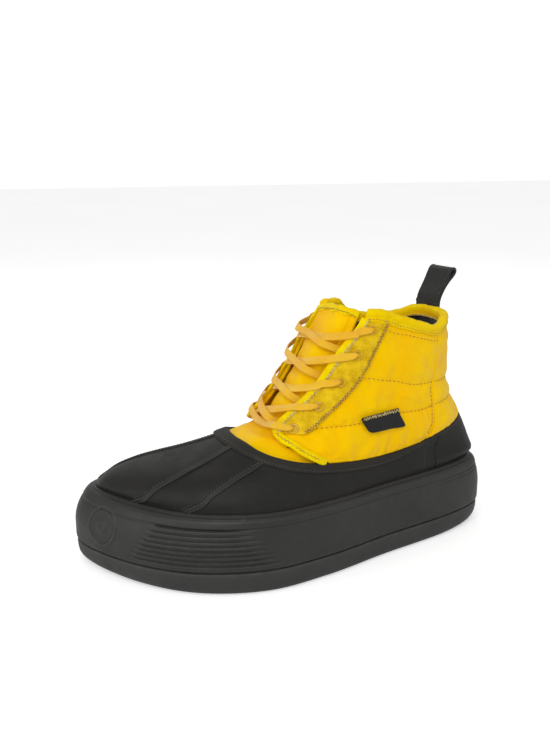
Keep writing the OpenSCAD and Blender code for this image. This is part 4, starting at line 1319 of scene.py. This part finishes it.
def collar_binding():
    u = np.linspace(-.3515, .3515, 520)
    top = rim(u)
    x = run_length(raised(u, top, 0))
    wobble_w = .018*np.sin(x*.21)+.014*np.sin(x*.47+1.3)+.010*np.sin(x*.93+.4)
    wobble = (.25*np.sin(x*.33+.7)+.16*np.sin(x*.71))*.35
    proud = 1.45*ease((fold(u)-.285)/.02)        # stands over the facing at the front
    rows = [raised(u, top+shift+wobble_w*(1 if shift < 0 else .6),
                   lift+proud*share+(wobble if share else 0))
            for shift, lift, share in COLLAR_BINDING]
    ob = loft("collar_binding_tape", np.stack(rows, 1), ring=False, sharp=60, flip=True)
    add(ob, "binding_collar", "tape", "collar_binding")
    line = raised(u, top-.205+wobble_w, QUILT_OUT+.62+proud+wobble)
    stitch_row("collar_stitching", "thread_lemon", line[6:-6], normal(u, top-.2)[6:-6],
               pitch=2.5, duty=.62, radius=.30, lift=.12)
    for sign, side in ((1, "lateral"), (-1, "medial")):
        u = np.linspace(BACK_SEAM+.003, .283, 120)*sign
        stitch_row("collar_seam_thread_"+side, "thread_quilt",
                   *path(u, rim(u)-.56, QUILT_OUT+.55),
                   pitch=3.4, duty=.6, radius=.27, lift=.1)


def collar_inside():
    """Yellow strip with zigzag, foam roll and fleece lining."""
    def inside(grid):
        return lining_face(grid.u, grid.w)

    def foam_inner(grid):
        foam = QUILT_IN-.6-FOAM_T*(.4+.6*ease(grid.up/6))
        return np.maximum(foam, inside(grid)+.35)

    def fleece_inner(grid):
        x, y, z = np.moveaxis(grid.at, -1, 0)
        tufts = .35*np.sin(x*.5+z*.2)*np.sin(z*.45+y*.3)
        return inside(grid)-1.-tufts-.9*ease(grid.edge/12)*ease((rim(grid.u)-.9-grid.w)/.5)

    ob = patch("collar_inner_strip", -.30, .30, lambda u: rim(u)-.30, lambda u: rim(u)-.02,
               lambda grid: inside(grid)+.2, lambda grid: inside(grid)-1.25,
               step=1.6, corner=.3)
    add(ob, "nylon_tongue", "tape")
    u = np.linspace(-.295, .295, 400)
    w = rim(u)-.25
    zigzag("collar_inner_zigzag", "thread_cream", raised(u, w, lining_face(u, w)-1.35),
           -normal(u, w), pitch=1.3, width=1.7, radius=.24, lift=.1, seed=51)
    ob = patch("collar_foam_roll", -.267, .267, lambda u: rim(u)-2.3, lambda u: rim(u)-.34,
               QUILT_IN-.6, foam_inner, step=2.4, corner=.3)
    add(ob, "foam", "foam", "collar_foam")
    ob = patch("collar_lining_fleece", -.352, .352, lambda u: shell_top(u)-.9,
               lambda u: rim(u)-.26, inside, fleece_inner, step=2., corner=.4)
    add(ob, "lining_fleece", "lining", "collar_lining")


# ---------------------------------------------------------------- pull loop
# Webbing centre line: distance towards the boot's inside, height
LOOP_PATH = [
    (-.6, -8.2), (-.9, -5.), (-1.2, -1.4), (-2.6, 2.6), (-5.8, 8.), (-10., 13.2), (-14., 17.2),
    (-15.6, 19.6), (-15.3, 21.6), (-12.8, 22.5), (-10.6, 21.2), (-9.2, 18.4), (-6.9, 13.2),
    (-4.2, 8.), (-1.2, 2.6), (.1, -1.4), (.5, -5.), (.6, -8.2)]
LOOP_W = 23.6


def pull_loop():
    up = np.array([0, 0, 1.])
    inward = -normal(LOOP_U, rim(LOOP_U))*(1, 1, 0)
    inward = inward/np.linalg.norm(inward)
    sideways = np.cross(up, inward)
    base = raised(LOOP_U, rim(LOOP_U)+.2, -.6)+up*5.4
    line = cubic_path([base+inward*a+up*b for a, b in LOOP_PATH], 8)
    length = run_length(line)
    along = np.linspace(0, length[-1], 150)
    line = np.stack([np.interp(along, length, column) for column in line.T], -1)
    t = np.linspace(0, 1, 150)
    high = ease((line[:, 2]-base[2]-2)/22)
    line = line+sideways*(.9*np.sin(t*np.pi)*high)[:, None]
    across = (sideways+inward*(.10*np.sin(t*6.28+.3)*high+.05*high)[:, None]
              - up*(.10*np.cos(t*3.14)*high)[:, None])
    across, out = section_frame(line, across)
    # ribbed webbing with thickened selvedges
    x = np.linspace(-1, 1, 37)
    thick = (.62+.10*np.abs(np.sin(x*18*np.pi/2))+.22*ease((np.abs(x)-.86)/.1)
             - .75*ease((np.abs(x)-.955)/.045))*1.18
    x, thick = np.append(x, x[::-1]), np.append(thick, -thick[::-1])
    points = (line[:, None]+across[:, None]*(x[:, None]*LOOP_W/2)
              + out[:, None]*thick[:, None])
    uv = np.stack(np.broadcast_arrays(along[:, None], x*9), -1)
    ob = loft("pull_loop_webbing", points, uv, ring=False, sharp=60)
    add(ob, "webbing", "webbing", "pull_loop", body=None)
    x, y, z = base
    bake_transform(ob)

    # bar tack where the two legs meet the collar
    threads = []
    steps = sideways*np.arange(-10.5, 10.5, .8)[:, None]
    for row, slant in ((0., .75), (.9, -.75)):
        for depth, out in ((1.15-.22*row, inward), (1.75+.18*row, -inward)):
            starts = base+out*depth+steps+up*(row-3.4)
            ends = starts+sideways*.62+up*slant
            threads.append((starts, ends, np.tile(out, (len(starts), 1))))
    strands("pull_loop_bar_tack", "thread_black", *map(np.concatenate, zip(*threads)),
            radius=.2)


# ---------------------------------------------------------------- side label
def side_label():
    grid = surface_grid(*LABEL_U, label_low, label_high, step=.75, corner=.4)
    s = grid.along/np.maximum(grid.along[-1:], 1e-6)
    t = grid.up/np.maximum(grid.up[:, -1:], 1e-6)
    # rounded lower corners
    radius = 2.4
    edge = np.minimum(s, 1-s)*grid.along[-1:].mean()
    cut = radius-np.sqrt(np.maximum(0, radius**2-(radius-edge)**2))
    cut = np.where(edge < radius, cut, 0)/grid.up[:, -1:].mean()
    t = cut+t*(1-cut)
    u, w = grid.u-LABEL_SHIFT*(1-t), mix(grid.w[:, :1], grid.w[:, -1:], t)
    curl = .9*ease((.6-t)/.6)*(.6+.4*np.sin(s*7+1))+.25*np.sin(s*9)
    inner = COVER+.35+curl
    ob = slab("side_label_woven", raised(u, w, inner+1.1-edge_round(grid.edge, .45)),
              raised(u, w, inner), grid.uv, 50)
    add(ob, "label_weave", "label", "side_label", body="label")
    # stitched bar above it
    ob = patch("label_stitch_bar_thread", *LABEL_U, lambda u: label_high(u, .012),
               lambda u: label_high(u, .18), COVER+1.35, COVER-.6,
               step=.9, corner=.5, grid_corner=.4)
    add(ob, "label_weave", "stitch", "label_stitch_bar")
    u = np.linspace(LABEL_U[0]+.0005, LABEL_U[1]-.0005, 90)
    zigzag("label_zigzag", "thread_cream", *path(u, label_high(u, .10), COVER+1.45),
           pitch=1.02, width=2.5, radius=.27, lift=.12, seed=61)


# ---------------------------------------------------------------- kept CAD pieces
CAD_MATERIALS = dict(
    eyelets_lateral="eyelet_enamel", eyelets_medial="eyelet_enamel", shank="shank_steel",
    lasting_board="board", toe_puff="stiffener", heel_counter="stiffener",
    midsole_foam="foam", loop_anchor="webbing")


def dress_cad():
    for name, material in CAD_MATERIALS.items():
        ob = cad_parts[name]
        if not ob.material_slots:
            ob.data.materials.append(MATERIALS[material])
        for slot in ob.material_slots:
            slot.material = MATERIALS[material]


# ---------------------------------------------------------------- stage (metres)
# name, position, target, size, watts
LIGHTS = [
    ("key", (.75, .95, 1.15), (0, 0, .06), (1.1, 1.1), 9.9),
    ("fill", (-.9, 1.1, .55), (0, 0, .08), (.9, 1.1), 1.5),
    ("toe", (1.3, .1, .5), (.1, 0, .05), (.5, .8), 2.0),
    ("rim", (-.2, -1.1, 1.0), (0, 0, .1), (1.2, .6), 1.7)]
FLOOR_HALF = 6.
FLOOR_Z = -.0002
AMBIENT = .55                    # world strength; the camera itself sees 1


def make_floor():
    me = bpy.data.meshes.new("floor")
    corners = ((-1, -1), (1, -1), (1, 1), (-1, 1))
    me.from_pydata([(x*FLOOR_HALF, y*FLOOR_HALF, FLOOR_Z) for x, y in corners], [],
                   [(0, 1, 2, 3)])
    floor = bpy.data.objects.new("floor", me)
    bpy.context.scene.collection.objects.link(floor)
    m = Shader("floor_pale")
    base = m.mix(m.remap(m.noise(scale=.002, detail=2), span=(.3, .7)),
                 (.93, .93, .93, 1), (.90, .90, .90, 1))
    glow = m.math("MULTIPLY", m.node("LightPath").outputs["Is Camera Ray"], .42)
    m.finish(Base_Color=base, Roughness=.9, Specular_IOR_Level=.1,
             Emission_Color=(1, 1, 1, 1), Emission_Strength=glow)
    me.materials.append(m.material)


def make_world():
    world = bpy.context.scene.world or bpy.data.worlds.new("World")
    bpy.context.scene.world = world
    world.use_nodes = True
    tree = world.node_tree
    color, strength = tree.nodes["Background"].inputs[:2]
    color.default_value = (1, 1, 1, 1)
    strength.default_value = AMBIENT
    rays = tree.nodes.new("ShaderNodeLightPath")
    scale = tree.nodes.new("ShaderNodeMath")
    scale.operation = "MULTIPLY_ADD"
    tree.links.new(rays.outputs["Is Camera Ray"], scale.inputs[0])
    scale.inputs[1].default_value = 1-AMBIENT
    scale.inputs[2].default_value = AMBIENT
    tree.links.new(scale.outputs[0], strength)


def make_lights():
    for name, position, target, size, watts in LIGHTS:
        light = bpy.data.lights.new(name, "AREA")
        light.shape = "RECTANGLE"
        light.size, light.size_y = size
        light.energy = watts
        ob = bpy.data.objects.new(name, light)
        bpy.context.scene.collection.objects.link(ob)
        ob.location = position
        aim = Vector(target)-Vector(position)
        ob.rotation_euler = aim.to_track_quat("-Z", "Y").to_euler()


def direction(azimuth, elevation):
    """Unit vector; azimuth in degrees from +Y towards +X."""
    a, e = math.radians(azimuth), math.radians(elevation)
    return Vector((math.sin(a)*math.cos(e), math.cos(a)*math.cos(e), math.sin(e)))


def make_camera():
    place = Vector((0, 0, .075))+direction(azimuth=23.8, elevation=20.3)*.6
    forward = -direction(azimuth=22.2, elevation=14.8)
    right = forward.cross(Vector((0, 0, 1))).normalized()
    camera = bpy.data.cameras.new("camera")
    camera.lens = 40.25
    camera.sensor_width = 36.
    camera.sensor_fit = "AUTO"
    camera.clip_start = .01
    ob = bpy.data.objects.new("camera", camera)
    bpy.context.scene.collection.objects.link(ob)
    axes = Matrix((right, right.cross(forward), -forward)).transposed()
    ob.matrix_world = Matrix.Translation(place) @ axes.to_4x4()
    bpy.context.scene.camera = ob


make_materials()
outsole()
sidewall()
footbed()
shell_panels()
shell_ribs()
shell_band()
heel_seams()
shell_lining()
upper()
throat_panel()
facing(False, "lateral")
facing(True, "medial")
tongue()
tongue_binding()
lace()
collar_binding()
collar_inside()
pull_loop()
side_label()
dress_cad()
make_floor()
make_world()
make_lights()
make_camera()
bpy.context.scene.view_settings.view_transform = "Standard"

bpy.context.view_layer.update()
